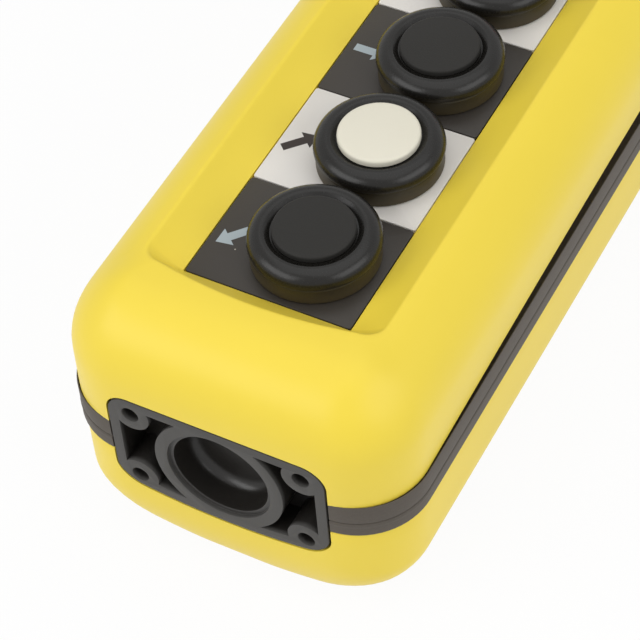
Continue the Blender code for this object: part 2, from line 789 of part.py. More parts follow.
def legend_plates(dark, light, stop, switch_holes):
    """Dark and light plates take turns, and a longer one lies under the emergency stop."""
    for i in range(BUTTON_COUNT):
        start = LEGEND_START + BUTTON_PITCH * i
        colour = light if i % 2 else dark
        legend_plate(f"legend_plate_{i + 1}", start, BUTTON_PITCH, colour, switch_holes)
    legend_plate("stop_legend_plate", STOP_START, STOP_PLATE_LENGTH, stop, switch_holes)


def guide_bush(flange_bottom):
    """Guide bush through the floor, with its ring nut below and a ledge for the spring."""
    top = flange_bottom + BUSH_FLANGE_THICKNESS
    nut_top = FLOOR_BOTTOM - GAP
    nut_bottom = nut_top - NUT_THICKNESS
    profile = [
        (BUSH_BORE_RADIUS, top),
        (BUSH_BORE_RADIUS, LEDGE_TOP),
        (STEM_RADIUS + GAP, LEDGE_TOP),
        (STEM_RADIUS + GAP, BUSH_BOTTOM),
        (BUSH_RADIUS, BUSH_BOTTOM),
        (BUSH_RADIUS, nut_bottom),
        (NUT_RADIUS, nut_bottom),
        (NUT_RADIUS, nut_top),
        (BUSH_RADIUS, nut_top),
        (BUSH_RADIUS, flange_bottom),
        (BUSH_RADIUS + BUSH_FLANGE, flange_bottom),
        (BUSH_RADIUS + BUSH_FLANGE, top),
    ]
    bm = bmesh.new()
    turn(bm, profile, BORE_STEPS)
    return bm


def boot():
    """Rubber boot: a clamped foot, an upright skirt, then a fat roll with a web under the cap."""
    crease = LEGEND_FACE + ROLL_BOTTOM
    top = LEGEND_FACE + ROLL_TOP
    inside = BUSH_RADIUS + BUSH_FLANGE + GAP
    mouth = CAP_RADIUS + CAP_GROOVE
    profile = [
        (HOLE_RADIUS, SEAT),
        (SKIRT_RADIUS, SEAT),
        (SKIRT_RADIUS - GAP, crease - CREASE_DEPTH / 2),
        (SKIRT_RADIUS - CREASE_DEPTH, crease),
    ]
    shoulder = (ROLL_RADIUS - ROLL_SHOULDER, top - ROLL_SHOULDER)
    profile += arc(*shoulder, ROLL_SHOULDER, -30.0, 90.0, 4)
    profile += [
        (mouth, top - CAP_EDGE),
        (mouth, WEB_TOP),
        (NECK_RADIUS + GAP, WEB_TOP),
        (NECK_RADIUS + GAP, WEB_BOTTOM),
        (inside, WEB_BOTTOM),
        (inside, SEAT + FOOT_THICKNESS),
        (HOLE_RADIUS, SEAT + FOOT_THICKNESS),
    ]
    bm = bmesh.new()
    turn(bm, profile, ROUND_STEPS)
    return bm


def button_cap(light):
    """Round cap, about level with the roll of its boot. A light one stands a little proud."""
    top = LEGEND_FACE + ROLL_TOP - GAP / 3
    if light:
        top += LIGHT_CAP_RISE
    seat = WEB_TOP + GAP
    socket_top = HEAD_TOP + SPIGOT_LENGTH + GAP
    profile = [
        (0.0, socket_top),
        (SPIGOT_RADIUS + GAP, socket_top),
        (SPIGOT_RADIUS + GAP, WEB_BOTTOM),
        (NECK_RADIUS, WEB_BOTTOM),
        (NECK_RADIUS, seat),
        (CAP_RADIUS, seat),
        (CAP_RADIUS, top - CAP_EDGE),
        (CAP_RADIUS - CAP_EDGE, top),
        (0.0, top),
    ]
    bm = bmesh.new()
    turn(bm, profile, ROUND_STEPS)
    return bm


def plunger(head_top, spigot_radius, spigot_length):
    """Stem that slides in the bush, with the head that the spring pushes up."""
    head_bottom = head_top - PLUNGER_HEAD
    spigot_top = head_top + spigot_length
    profile = [
        (0.0, STEM_BOTTOM),
        (STEM_RADIUS, STEM_BOTTOM),
        (STEM_RADIUS, head_bottom),
        (PLUNGER_HEAD_RADIUS, head_bottom),
        (PLUNGER_HEAD_RADIUS, head_top),
        (spigot_radius, head_top),
        (spigot_radius, spigot_top),
        (0.0, spigot_top),
    ]
    bm = bmesh.new()
    turn(bm, profile, SMALL_STEPS)
    return bm


def spring(head_top):
    """Compression spring between the ledge of the bush and the plunger's head."""
    wire = SPRING_WIRE / 2
    low = LEDGE_TOP + GAP + wire
    high = head_top - PLUNGER_HEAD - GAP - wire
    steps = int(SPRING_TURNS * SMALL_STEPS)
    rings = []
    for step in range(steps + 1):
        turned = 2.0 * math.pi * step / SMALL_STEPS
        level = low + (high - low) * step / steps
        section = [
            (SPRING_RADIUS + wire, level),
            (SPRING_RADIUS, level + wire),
            (SPRING_RADIUS - wire, level),
            (SPRING_RADIUS, level - wire),
        ]
        rings.append([(r * math.cos(turned), r * math.sin(turned), z) for r, z in section])
    bm = bmesh.new()
    skin(bm, rings)
    return bm


def buttons(colours):
    """The booted push buttons: cap, boot, plunger, spring and guide bush. Copies share a mesh."""
    shapes = {
        "boot": (boot(), colours["rubber"]),
        "plunger": (plunger(HEAD_TOP, SPIGOT_RADIUS, SPIGOT_LENGTH), colours["nylon"]),
        "return_spring": (spring(HEAD_TOP), colours["steel"]),
        "guide_bush": (guide_bush(FLANGE_BOTTOM), colours["bush"]),
    }
    place = (BUTTON_OFFSET, BUTTON_PLACES[0], 0.0)
    for name, (bm, colour) in shapes.items():
        first = node(f"{name}_1", bm, colour, place)
        for i, y in enumerate(BUTTON_PLACES[1:]):
            copy_of(first, f"{name}_{i + 2}", (BUTTON_OFFSET, y, 0.0))
    caps = {}
    for i, y in enumerate(BUTTON_PLACES):
        light = i % 2 == 1
        name = f"button_cap_{i + 1}"
        place = (BUTTON_OFFSET, y, 0.0)
        if light in caps:
            copy_of(caps[light], name, place)
        else:
            caps[light] = node(name, button_cap(light), colours["cream" if light else "cap"], place)


def emergency_stop(colours):
    """Bezel, mushroom head, stem and spring on the axis of the last switch."""
    place = (BUTTON_OFFSET, STOP_CENTRE, 0.0)
    inner = MUSHROOM_NECK_RADIUS + 2.0 * GAP
    outer = inner + BEZEL_WALL
    bm = bmesh.new()
    bezel = [
        (inner, SEAT),
        (outer, SEAT),
        (outer, BEZEL_TOP - BEZEL_WALL),
        (outer - BEZEL_WALL / 2, BEZEL_TOP),
        (inner, BEZEL_TOP),
    ]
    turn(bm, bezel, ROUND_STEPS)
    node("stop_bezel", bm, colours["plate"], place)

    neck_bottom = SEAT + BUSH_FLANGE_THICKNESS + STOP_TRAVEL + 2.0 * GAP
    head_top = neck_bottom - GAP
    hollow = MUSHROOM_NECK_RADIUS - MUSHROOM_NECK_WALL
    socket_bottom = MUSHROOM_BOTTOM - STOP_SOCKET_ROOF
    socket_top = MUSHROOM_BOTTOM + STOP_SPIGOT_DEPTH
    top = MUSHROOM_BOTTOM + MUSHROOM_HEIGHT
    edge_x = MUSHROOM_RADIUS - MUSHROOM_EDGE
    edge_z = top - MUSHROOM_EDGE
    mushroom = [
        (0.0, socket_top),
        (STOP_SPIGOT_RADIUS + GAP, socket_top),
        (STOP_SPIGOT_RADIUS + GAP, socket_bottom),
        (hollow, socket_bottom),
        (hollow, neck_bottom),
        (MUSHROOM_NECK_RADIUS, neck_bottom),
        (MUSHROOM_NECK_RADIUS, MUSHROOM_BOTTOM),
        (edge_x + MUSHROOM_EDGE / 2, MUSHROOM_BOTTOM),
    ]
    mushroom += arc(edge_x, edge_z, MUSHROOM_EDGE, 0.0, MUSHROOM_EDGE_TURN, 4)
    mushroom.append((0.0, top + MUSHROOM_CROWN))
    bm = bmesh.new()
    turn(bm, mushroom, ROUND_STEPS)
    node("stop_mushroom", bm, colours["red"], place)

    spigot = socket_top - GAP - head_top
    node("stop_stem", plunger(head_top, STOP_SPIGOT_RADIUS, spigot), colours["nylon"], place)
    node("stop_spring", spring(head_top), colours["steel"], place)
    node("stop_guide_bush", guide_bush(SEAT), colours["bush"], place)


def block_mesh():
    """Contact block: a wide base with a narrower tower that takes the plunger."""
    base = BLOCK_WIDTH / 2
    tower = BLOCK_TOWER_WIDTH / 2
    shoulder = BLOCK_TOP - BLOCK_TOWER_HEIGHT
    chamfer = base - tower
    outline = [
        (base, BLOCK_BOTTOM),
        (base, shoulder - chamfer / 2),
        (tower, shoulder),
        (tower, BLOCK_TOP),
    ]
    outline += [(-x, z) for x, z in reversed(outline)]
    bm = bmesh.new()
    skin(bm, [[(x, y, z) for x, z in outline] for y in (-BLOCK_LENGTH / 2, BLOCK_LENGTH / 2)])
    return bm


def contact_blocks(colour):
    """One block under each switch, with a well for the stem and two terminal screws below."""
    across = BLOCK_WIDTH / 2 - TERMINAL_INSET
    along = BLOCK_LENGTH / 2 - 2.0 * TERMINAL_INSET
    well_bottom = STEM_BOTTOM - STOP_TRAVEL - WELL_MARGIN
    for i, y in enumerate(SWITCH_PLACES):
        name = f"contact_block_{i + 1}" if i < BUTTON_COUNT else "stop_contact_block"
        place = (BUTTON_OFFSET, y, 0.0)
        block = node(name, block_mesh(), colour, place)
        bm = bmesh.new()
        rod(bm, STEM_RADIUS + GAP, well_bottom, BLOCK_TOP + GAP, SMALL_STEPS)
        cut(block, node(f"stem_well_{i + 1}", bm, None, place))
        bm = bmesh.new()
        for x in (-across, across):
            low = BLOCK_BOTTOM - TERMINAL_HEIGHT
            rod(bm, TERMINAL_RADIUS, low, BLOCK_BOTTOM + GAP, SMALL_STEPS, at(x, math.copysign(along, x)))
        join(block, node(f"terminal_screws_{i + 1}", bm, None, place))


def mounting_rail(colour):
    """Steel strip that carries the contact blocks, held on the pegs of the back shell."""
    half = RAIL_WIDTH / 2
    bm = bmesh.new()
    outline = box_outline(BUTTON_OFFSET - half, BUTTON_OFFSET + half, RAIL_START, RAIL_END)
    prism(bm, outline, RAIL_BOTTOM, RAIL_TOP)
    rail = node("mounting_rail", bm, colour)
    cut(rail, posts("rail_holes", PEG_PLACES, PEG_RADIUS + GAP, RAIL_BOTTOM - GAP, RAIL_TOP + GAP))
    return rail


def housing_screws(colour):
    """Pan-head screws whose heads sit deep in the pockets of the back shell."""
    seat = screw_seat()
    profile = [
        (0.0, screw_tip()),
        (SCREW_RADIUS, screw_tip()),
        (SCREW_RADIUS, seat),
        (SCREW_HEAD_RADIUS, seat),
        (SCREW_HEAD_TOP_RADIUS, seat - SCREW_HEAD_HEIGHT),
        (0.0, seat - SCREW_HEAD_HEIGHT),
    ]
    places = [(x, y, 0.0) for y in SCREW_PLACES for x in (-SCREW_ACROSS, SCREW_ACROSS)]
    bm = bmesh.new()
    turn(bm, profile, SMALL_STEPS)
    first = node("housing_screw_1", bm, colour, places[0])
    for i, place in enumerate(places[1:]):
        copy_of(first, f"housing_screw_{i + 2}", place)


def main():
    clear_scene()
    colours = {
        "yellow": finish("yellow moulding", (0.88, 0.68, 0.075), 0.45),
        "plate": finish("black moulding", (0.055, 0.052, 0.048), 0.55),
        "band": finish("band rubber", (0.075, 0.071, 0.066), 0.75),
        "rubber": finish("boot rubber", (0.035, 0.033, 0.032), 0.38),
        "cap": finish("dark cap", (0.06, 0.058, 0.055), 0.6),
        "cream": finish("cream cap", (0.74, 0.70, 0.58), 0.45),
        "dark legend": finish("black legend", (0.055, 0.05, 0.043), 0.5),
        "light legend": finish("white legend", (0.74, 0.72, 0.67), 0.45),
        "stop legend": finish("yellow legend", (0.85, 0.6, 0.05), 0.45),
        "red": finish("red moulding", (0.55, 0.02, 0.015), 0.35),
        "nylon": finish("natural nylon", (0.72, 0.69, 0.6), 0.5),
        "bush": finish("grey nylon", (0.2, 0.2, 0.2), 0.5),
        "steel": finish("plated steel", (0.62, 0.6, 0.57), 0.35, 1.0),
    }
    switch_holes = switch_holes_cutter()
    openings = [plate_opening_cutter(), sleeve_opening_cutter()]
    front_shell(colours["yellow"], switch_holes, openings)
    back_shell(colours["yellow"], openings)
    seam_band("seam_band_right", 1.0, colours["band"])
    seam_band("seam_band_left", -1.0, colours["band"])
    end_plate(colours["plate"])
    cable_sleeve(colours["rubber"])
    legends = [colours["dark legend"], colours["light legend"], colours["stop legend"]]
    legend_plates(*legends, switch_holes)
    buttons(colours)
    emergency_stop(colours)
    contact_blocks(colours["bush"])
    mounting_rail(colours["steel"])
    housing_screws(colours["steel"])


main()
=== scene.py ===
import math
from contextlib import contextmanager

import bmesh
import bpy
from mathutils import Matrix, Vector


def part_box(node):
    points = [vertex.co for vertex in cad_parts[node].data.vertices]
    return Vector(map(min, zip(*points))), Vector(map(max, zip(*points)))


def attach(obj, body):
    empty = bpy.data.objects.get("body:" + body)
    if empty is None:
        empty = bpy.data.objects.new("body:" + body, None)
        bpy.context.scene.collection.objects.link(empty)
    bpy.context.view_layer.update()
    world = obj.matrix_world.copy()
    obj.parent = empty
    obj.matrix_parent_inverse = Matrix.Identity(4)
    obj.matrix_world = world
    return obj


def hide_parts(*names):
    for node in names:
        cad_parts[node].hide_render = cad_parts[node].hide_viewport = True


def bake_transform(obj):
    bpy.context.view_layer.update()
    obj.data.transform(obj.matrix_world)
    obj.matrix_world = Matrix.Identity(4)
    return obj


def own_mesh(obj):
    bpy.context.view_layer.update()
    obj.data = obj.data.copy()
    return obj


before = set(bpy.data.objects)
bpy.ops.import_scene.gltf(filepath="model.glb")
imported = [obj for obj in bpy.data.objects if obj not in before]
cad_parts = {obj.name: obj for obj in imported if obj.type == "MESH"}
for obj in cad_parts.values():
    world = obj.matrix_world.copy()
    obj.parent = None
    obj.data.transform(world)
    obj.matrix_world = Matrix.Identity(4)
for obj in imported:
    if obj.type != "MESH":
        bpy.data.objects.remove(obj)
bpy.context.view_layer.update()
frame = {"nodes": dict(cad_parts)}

bl_info = {
    "name": "Crane Hoist Pendant Control",
    "version": (1, 0, 0),
    "blender": (4, 5, 0),
    "location": "3D View > Sidebar > Pendant",
    "description": "Dresses a hand-held pendant control with its mouldings, rubber boots, prints and finishes",
    "category": "Object",
}

MM = 0.001
CENTIMETRE = 0.01

# Places read from the frame
HOUSING = "housing"
BUTTONS = 6
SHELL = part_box("front_shell")
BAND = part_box("seam_band_right")
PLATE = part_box("end_plate")
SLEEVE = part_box("cable_sleeve")
STOP_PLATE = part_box("stop_legend_plate")
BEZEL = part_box("stop_bezel")
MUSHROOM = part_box("stop_mushroom")
LEGENDS = [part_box(f"legend_plate_{i + 1}") for i in range(BUTTONS)]
BOOTS = [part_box(f"boot_{i + 1}") for i in range(BUTTONS)]
SCREWS = [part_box(f"housing_screw_{i + 1}") for i in range(4)]

HALF_WIDTH = SHELL[1].x
LOW_END = SHELL[0].y
HIGH_END = SHELL[1].y
RIM_TOP = SHELL[1].z
LEGEND_FACE = LEGENDS[0][1].z
LEGEND_BACK = LEGENDS[0][0].z
LEGEND_HALF = LEGENDS[0][1].x
SWITCH_X = (BOOTS[0][0].x + BOOTS[0][1].x) / 2
SWITCHES = [(box[0].y + box[1].y) / 2 for box in BOOTS + [BEZEL]]
SEAT = BOOTS[0][0].z
BAND_SIDE = BAND[1].x
SEAM = (BAND[0].z + BAND[1].z) / 2

# Hole in the floor and in the legends for each switch
SWITCH_HOLE = 11.1 * MM

# Fineness of curved surfaces
TURN_STEPS = 72
CORNER_STEPS = 14
SIDE_STEPS = 44
END_STEPS = 18
FILLET_STEPS = 6
SMOOTH = math.radians(32.0)
MERGE = 1e-6

# How far a cutting piece reaches out of what it cuts
OUT = 3.0 * MM


def length(name, description, default):
    number = bpy.props.FloatProperty
    return number(name=name, description=description, default=default, unit="LENGTH", precision=5)


def turn_angle(name, description, default):
    number = bpy.props.FloatProperty
    return number(name=name, description=description, default=math.radians(default), subtype="ANGLE")


def amount(name, description, default):
    return bpy.props.FloatProperty(name=name, description=description, default=default, min=0.0)


def tint(name, description, default):
    return bpy.props.FloatVectorProperty(
        name=name, description=description, default=default, subtype="COLOR", size=3, min=0.0, max=1.0
    )


class HousingSizes(bpy.types.PropertyGroup):
    wall: length("Wall", "Wall of both shells", 3.0 * MM)
    corner: length("Plan corner", "Radius of the four upright corners", 16.8 * MM)
    rim: length("Rim radius", "Radius of the front shell's rim", 17.5 * MM)
    crest: length("Crest", "Half the distance between the crests beside the legends", 28.0 * MM)
    side_fillet: length("Side crest fillet", "Rounding of the crests beside the legends", 2.6 * MM)
    end_fillet: length("End crest fillet", "Rounding of the crests at the ends of the recess", 1.0 * MM)
    end_run: length("End slope", "Run of the slopes at the ends of the recess", 3.5 * MM)
    end_bow: length("End bow", "Bow of the recess's end crests", 2.4 * MM)
    recess_corner: length("Recess corner", "Corner radius of the recess at its crest", 4.6 * MM)
    floor: length("Floor", "Thickness of the floor under the legends", 2.4 * MM)
    gap: length("Gap", "Gap round a piece that is let in", 0.3 * MM)
    edge_drop: length("Edge drop", "How deep the front shell's edge stands behind the band's lip", 0.8 * MM)
    edge_bow: length("Edge bow", "Rise of the front shell's lower edge at mid length", 3.4 * MM)
    bulge: length("Bulge", "How much wider than the back shell the front shell is at each side", 0.25 * MM)
    edge: length("Edge rounding", "Rounding of the shells' edges at the seam", 0.35 * MM)
    back_side: length("Back side radius", "Radius along the back shell's sides", 10.5 * MM)
    back_run: length("Back end run", "How far the back shell's ends draw in at the back", 10.3 * MM)
    back_height: length("Back end height", "Height of the rounding at the back shell's ends", 18.6 * MM)
    crown: length("Crown", "How much higher the crowned back is at its sides", 6.7 * MM)
    flat: length("Flat strip", "Width of the flat strip along the crowned back", 16.4 * MM)
    pocket: length("Screw pocket", "Radius of the pockets for the housing screws", 4.4 * MM)
    pocket_wall: length("Pocket wall", "Wall round the pockets inside the housing", 2.1 * MM)
    pocket_depth: length("Pocket depth", "Depth of the pockets for the housing screws", 11.0 * MM)


class BandSizes(bpy.types.PropertyGroup):
    corner: length("Corner", "Radius of the band's corners", 16.5 * MM)
    tongue: length("Tongue", "How far the hidden tongues reach past the face", 3.8 * MM)
    tongue_depth: length("Tongue depth", "Distance of the tongues behind the face", 4.2 * MM)
    tongue_wall: length("Tongue wall", "Thickness of the tongues", 1.8 * MM)
    lip: length("Lip", "Thickness of the lip that stands in front of the front shell", 0.3 * MM)
    lip_drop: length("Lip drop", "How much lower the lip is than the band's seat", 0.3 * MM)
    trench: length("Trench", "Depth of the trench behind the lip", 2.5 * MM)
    edge: length("Edge rounding", "Rounding along the two edges of the face", 0.15 * MM)
    groove_drop: length("Groove drop", "Distance of the groove below the middle of the face", 0.8 * MM)
    groove: length("Groove", "Depth of the groove along the middle", 0.6 * MM)
    ridge: length("Ridge", "Height of the fine ridge under the groove", 0.08 * MM)
    end_gap: length("End gap", "Gap between the band and the plate or the sleeve", 0.5 * MM)


class PlateSizes(bpy.types.PropertyGroup):
    top_radius: length("Top corners", "Radius of the upper corners", 5.0 * MM)
    bottom_radius: length("Bottom corners", "Radius of the lower corners", 6.0 * MM)
    sag: length("Sag", "How far the lower edge sags in the middle", 2.7 * MM)
    frame: length("Frame", "Width of the frame round the pockets", 2.4 * MM)
    pocket: length("Pocket depth", "Depth of the pockets", 8.0 * MM)
    ring: length("Ring", "Outer radius of the ring round the port", 15.36 * MM)
    ledge: length("Ledge", "Radius of the ledge inside the ring", 12.4 * MM)
    ledge_depth: length("Ledge depth", "Depth of the ledge", 0.9 * MM)
    port: length("Port", "Radius of the blind port", 11.3 * MM)
    port_depth: length("Port depth", "Depth of the blind port", 8.0 * MM)
    port_drop: length("Port drop", "Distance of the port's axis below the seam", 0.9 * MM)
    port_fillet: length("Port fillet", "Rounding at the bottom of the port", 2.8 * MM)
    hole: length("Hole", "Radius of the four screw holes", 2.05 * MM)
    boss: length("Boss", "Radius of the bosses round the holes", 4.5 * MM)
    hole_span: length("Hole span", "Distance between the holes across", 40.5 * MM)
    hole_height: length("Hole height", "Distance between the holes up", 20.6 * MM)
    hole_inset: length("Hole inset", "Distance of the upper holes below the top edge", 4.3 * MM)
    hole_depth: length("Hole depth", "Depth of the screw holes", 7.0 * MM)
    edge: length("Edge rounding", "Rounding of the moulded edges", 0.18 * MM)
    lip: length("Lip", "Height of the lips behind the upper and lower edge", 2.0 * MM)
    opening_gap: length("Opening gap", "Gap between the plate and the shells", 0.5 * MM)
    opening_depth: length("Opening depth", "Depth of the shells' opening for the plate", 6.0 * MM)
    thickness: length("Thickness", "Thickness of the plate with its pockets", 10.4 * MM)
    reveal: length("Reveal", "Rise of the port's axis by the band's uneven edges", 0.15 * MM)


class SleeveSizes(bpy.types.PropertyGroup):
    bore: length("Bore", "Radius of the bore", 7.0 * MM)
    tip: length("Tip", "Radius at the cable end", 9.5 * MM)
    neck: length("Neck", "Radius where it passes through the end walls", 15.0 * MM)
    gap: length("Gap", "Gap between the neck and the end walls", 0.3 * MM)
    collar: length("Collar", "Thickness of the collars", 2.7 * MM)
    rib: length("Rib", "Height of the ribs", 1.6 * MM)
    ribs: bpy.props.IntProperty(name="Ribs", description="Number of ribs", default=5, min=1)


class ButtonSizes(bpy.types.PropertyGroup):
    foot: length("Foot", "Radius of the boot's foot", 14.05 * MM)
    roll: length("Roll", "Radius of the boot's roll", 14.4 * MM)
    crest: length("Roll crest", "Radius of the roll's crest round the cap", 11.2 * MM)
    roll_top: length("Roll top", "Height of the roll's crest above the legends", 8.2 * MM)
    roll_bottom: length("Roll bottom", "Height of the roll's widest place above the legends", 5.1 * MM)
    crease: length("Crease", "Height of the crease above the legends", 4.3 * MM)
    crease_radius: length("Crease radius", "Radius of the crease under the roll", 13.7 * MM)
    mouth: length("Mouth", "Radius of the groove round the cap", 9.4 * MM)
    web: length("Web", "Height of the web under the cap above the legends", 7.1 * MM)
    inside: length("Inside", "Radius inside the boot", 12.3 * MM)
    flange: length("Flange", "Thickness of the boot's flange on the legend", 0.8 * MM)
    stem_hole: length("Stem hole", "Radius of the boot's hole for the cap's stem", 6.0 * MM)
    stem: length("Stem", "Radius of the stem under a cap", 5.7 * MM)
    stem_foot: length("Stem foot", "Height of the stem's lower end above the legends", 6.0 * MM)
    spigot: length("Spigot hole", "Radius of the hole for the plunger's spigot", 2.9 * MM)
    spigot_roof: length("Spigot roof", "Height of that hole's upper end above the legends", 7.7 * MM)
    travel: length("Travel", "How far a button goes down", 3.2 * MM)
    stop_travel: length("Stop travel", "How far the stop button goes down", 5.0 * MM)
    spring_wire: length("Spring wire", "Radius of the springs' wire", 0.45 * MM)
    cap: length("Cap", "Radius of the dark caps", 8.95 * MM)
    cream_cap: length("Cream cap", "Radius of the cream caps", 9.1 * MM)
    cap_top: length("Cap top", "Height of the caps above the legends", 9.0 * MM)
    cream_rise: length("Cream rise", "How far the cream caps stand above the dark ones", 0.1 * MM)
    crown: length("Crown", "How far the middle of a cap stands above its edge", 0.1 * MM)
    cap_edge: length("Cap edge", "Rounding of the caps' edges", 0.7 * MM)


class PrintSizes(bpy.types.PropertyGroup):
    corner: length("Legend corner", "Corner radius of the legend plates", 0.6 * MM)
    edge: length("Legend edge", "Rounding of the legend plates' edges", 0.12 * MM)
    shaft: length("Shaft", "Width of an arrow's shaft", 2.15 * MM)
    head: length("Head", "Width of an arrow's head", 5.2 * MM)
    head_length: length("Head length", "Length of an arrow's head", 3.1 * MM)
    ink: length("Ink", "Thickness of the printed arrows", 0.03 * MM)


class FinishColours(bpy.types.PropertyGroup):
    yellow: tint("Yellow", "Moulded yellow of the shells", (0.905, 0.700, 0.070))
    stop_yellow: tint("Stop legend", "Yellow of the plate under the stop button", (0.85, 0.60, 0.03))
    band: tint("Seam band", "Grey-black rubber of the band", (0.078, 0.066, 0.054))
    moulding: tint("Black moulding", "Black plastic of the end plate and bezel", (0.018, 0.016, 0.014))
    # Only the end plate's face gets this colour. Everything more than 1.3 mm behind it keeps the black moulding,
    # which is painted shade in the pockets, port, holes and the gap round the plate.
    plate_face_over_painted_shade: tint("Plate face over painted shade", "Face of the end plate; its pockets, port, holes and sides stay darker as painted shade", (0.068, 0.065, 0.061))
    rubber: tint("Boot rubber", "Black rubber of the boots", (0.010, 0.0092, 0.008))
    # Painted reflection of the yellow housing, together with dust, on the rubber low on the boots.
    dust_and_reflected_yellow: tint("Dust and reflected yellow", "Dust and painted reflection of the yellow housing low on the boots", (0.060, 0.048, 0.026))
    dark_cap: tint("Dark cap", "Matt black plastic of the dark caps", (0.021, 0.020, 0.018))
    cream_cap: tint("Cream cap", "Cream plastic of the light caps", (0.770, 0.735, 0.610))
    dark_print: tint("Black legend", "Printed black of the legends", (0.036, 0.031, 0.026))
    white_print: tint("White legend", "Printed white of the legends", (0.740, 0.715, 0.680))
    pale_arrow: tint("Pale arrow", "Arrows on black legends", (0.400, 0.470, 0.500))
    dark_arrow: tint("Dark arrow", "Arrows on white legends", (0.024, 0.016, 0.012))
    red: tint("Stop red", "Red plastic of the stop button", (0.560, 0.018, 0.014))
    nylon: tint("Nylon", "Natural nylon of the stems", (0.720, 0.690, 0.600))
    grey_nylon: tint("Grey nylon", "Grey plastic of bushes and contact blocks", (0.200, 0.200, 0.200))
    steel: tint("Steel", "Plated steel", (0.620, 0.600, 0.570))


class StageSettings(bpy.types.PropertyGroup):
    azimuth: turn_angle("Azimuth", "Turn of the view from looking along +Y", 31.55)
    elevation: turn_angle("Elevation", "Height of the view above the horizon", 49.37)
    roll: turn_angle("Roll", "Tilt of the camera about its line of sight", -5.19)
    distance: length("Distance", "Distance of the camera from the aim point", 524.77 * MM)
    across: length("Across", "Place of the camera across the view", 11.15 * MM)
    up: length("Up", "Place of the camera up the view", -4.18 * MM)
    lens: bpy.props.FloatProperty(name="Lens", description="Focal length in millimetres", default=142.71)
    sky: amount("Sky", "Strength of the white surroundings", 0.32)
    above: amount("Above", "Power of the soft light above, in watts", 4.0)
    left: amount("Left", "Power of the soft light at the left, in watts", 3.7)
    right: amount("Right", "Power of the soft light at the right, in watts", 3.0)
    shade: amount("Shade", "Share of the object's shadow that the white floor shows", 0.06)


GROUPS = {
    "pendant_housing": HousingSizes,
    "pendant_band": BandSizes,
    "pendant_plate": PlateSizes,
    "pendant_sleeve": SleeveSizes,
    "pendant_button": ButtonSizes,
    "pendant_print": PrintSizes,
    "pendant_colours": FinishColours,
    "pendant_stage": StageSettings,
}


# Selecting and shaping with Blender's own operators

def deselect():
    if bpy.context.object and bpy.context.object.mode != "OBJECT":
        bpy.ops.object.mode_set(mode="OBJECT")
    bpy.ops.object.select_all(action="DESELECT")


def activate(piece):
    deselect()
    piece.select_set(True)
    bpy.context.view_layer.objects.active = piece


def settle(piece):
    """Puts the object's place, turn and size into its mesh."""
    activate(piece)
    bpy.ops.object.transform_apply(location=True, rotation=True, scale=True)
    return piece


def begin(name):
    """Names the primitive that was just added and settles it."""
    made = bpy.context.object
    made.name = name
    made.data.name = name
    return settle(made)


@contextmanager
def editing(piece, kind="EDGE"):
    activate(piece)
    bpy.ops.object.mode_set(mode="EDIT")
    bpy.ops.mesh.select_mode(type=kind)
    yield
    bpy.ops.object.mode_set(mode="OBJECT")


def choose(piece, kind, test):
    """Selects, in edit mode, the faces, edges or points that pass a test."""
    bpy.ops.mesh.select_mode(type=kind)
    bpy.ops.mesh.select_all(action="DESELECT")
    shape = bmesh.from_edit_mesh(piece.data)
    items = {"FACE": shape.faces, "EDGE": shape.edges, "VERT": shape.verts}[kind]
    for item in items:
        if test(item):
            item.select_set(True)
    bmesh.update_edit_mesh(piece.data)


def runs_along(edge, axis):
    across = edge.verts[1].co - edge.verts[0].co
    return abs(across[axis]) > 0.999 * across.length


def middle(edge):
    return (edge.verts[0].co + edge.verts[1].co) / 2


def block(name, low, high):
    deselect()
    low, high = Vector(low), Vector(high)
    bpy.ops.mesh.primitive_cube_add(size=1.0, location=(low + high) / 2, scale=high - low)
    return begin(name)


def rod(name, radius, start, end, steps=TURN_STEPS):
    """A cylinder between two points on one axis."""
    deselect()
    start, end = Vector(start), Vector(end)
    turned_to = (end - start).to_track_quat("Z", "Y").to_euler()
    depth = (end - start).length
    centre = (start + end) / 2
    bpy.ops.mesh.primitive_cylinder_add(
        vertices=steps, radius=radius, depth=depth, location=centre, rotation=turned_to
    )
    return begin(name)


def modify(piece, kind, **values):
    """Adds a modifier, sets it and applies it."""
    activate(piece)
    added = piece.modifiers.new(kind.lower(), kind)
    for name, value in values.items():
        setattr(added, name, value)
    bpy.ops.object.modifier_apply(modifier=added.name)


def combine(piece, other, operation="DIFFERENCE"):
    modify(piece, "BOOLEAN", operation=operation, solver="EXACT", object=other)
    bpy.data.objects.remove(other, do_unlink=True)


def smooth(piece, angle=SMOOTH):
    activate(piece)
    bpy.ops.object.shade_smooth_by_angle(angle=angle)
    return piece


def ease(piece, width, angle=40.0, segments=2):
    """Rounds the moulded edges a little."""
    modify(
        piece,
        "BEVEL",
        width=width,
        segments=segments,
        limit_method="ANGLE",
        angle_limit=math.radians(angle),
        use_clamp_overlap=True,
    )


def soften(corners, steps=FILLET_STEPS, closed=False):
    """Outline through (across, up, radius) corners, each rounded by its own radius."""
    points = []
    count = len(corners)
    for i, (x, y, radius) in enumerate(corners):
        here = Vector((x, y))
        at_end = not closed and i in (0, count - 1)
        if radius == 0.0 or at_end:
            points.append(here)
            continue
        back = Vector(corners[i - 1][:2]) - here
        ahead = Vector(corners[(i + 1) % count][:2]) - here
        half = back.angle(ahead) / 2
        reach = min(radius / math.tan(half), 0.49 * back.length, 0.49 * ahead.length)
        back.normalize()
        ahead.normalize()
        centre = here + (back + ahead).normalized() * (reach / math.cos(half))
        start = here + back * reach - centre
        end = here + ahead * reach - centre
        sweep = math.atan2(start.x * end.y - start.y * end.x, start.dot(end))
        for step in range(steps + 1):
            turned_by = Matrix.Rotation(sweep * step / steps, 2)
            points.append(centre + turned_by @ start)
    return points


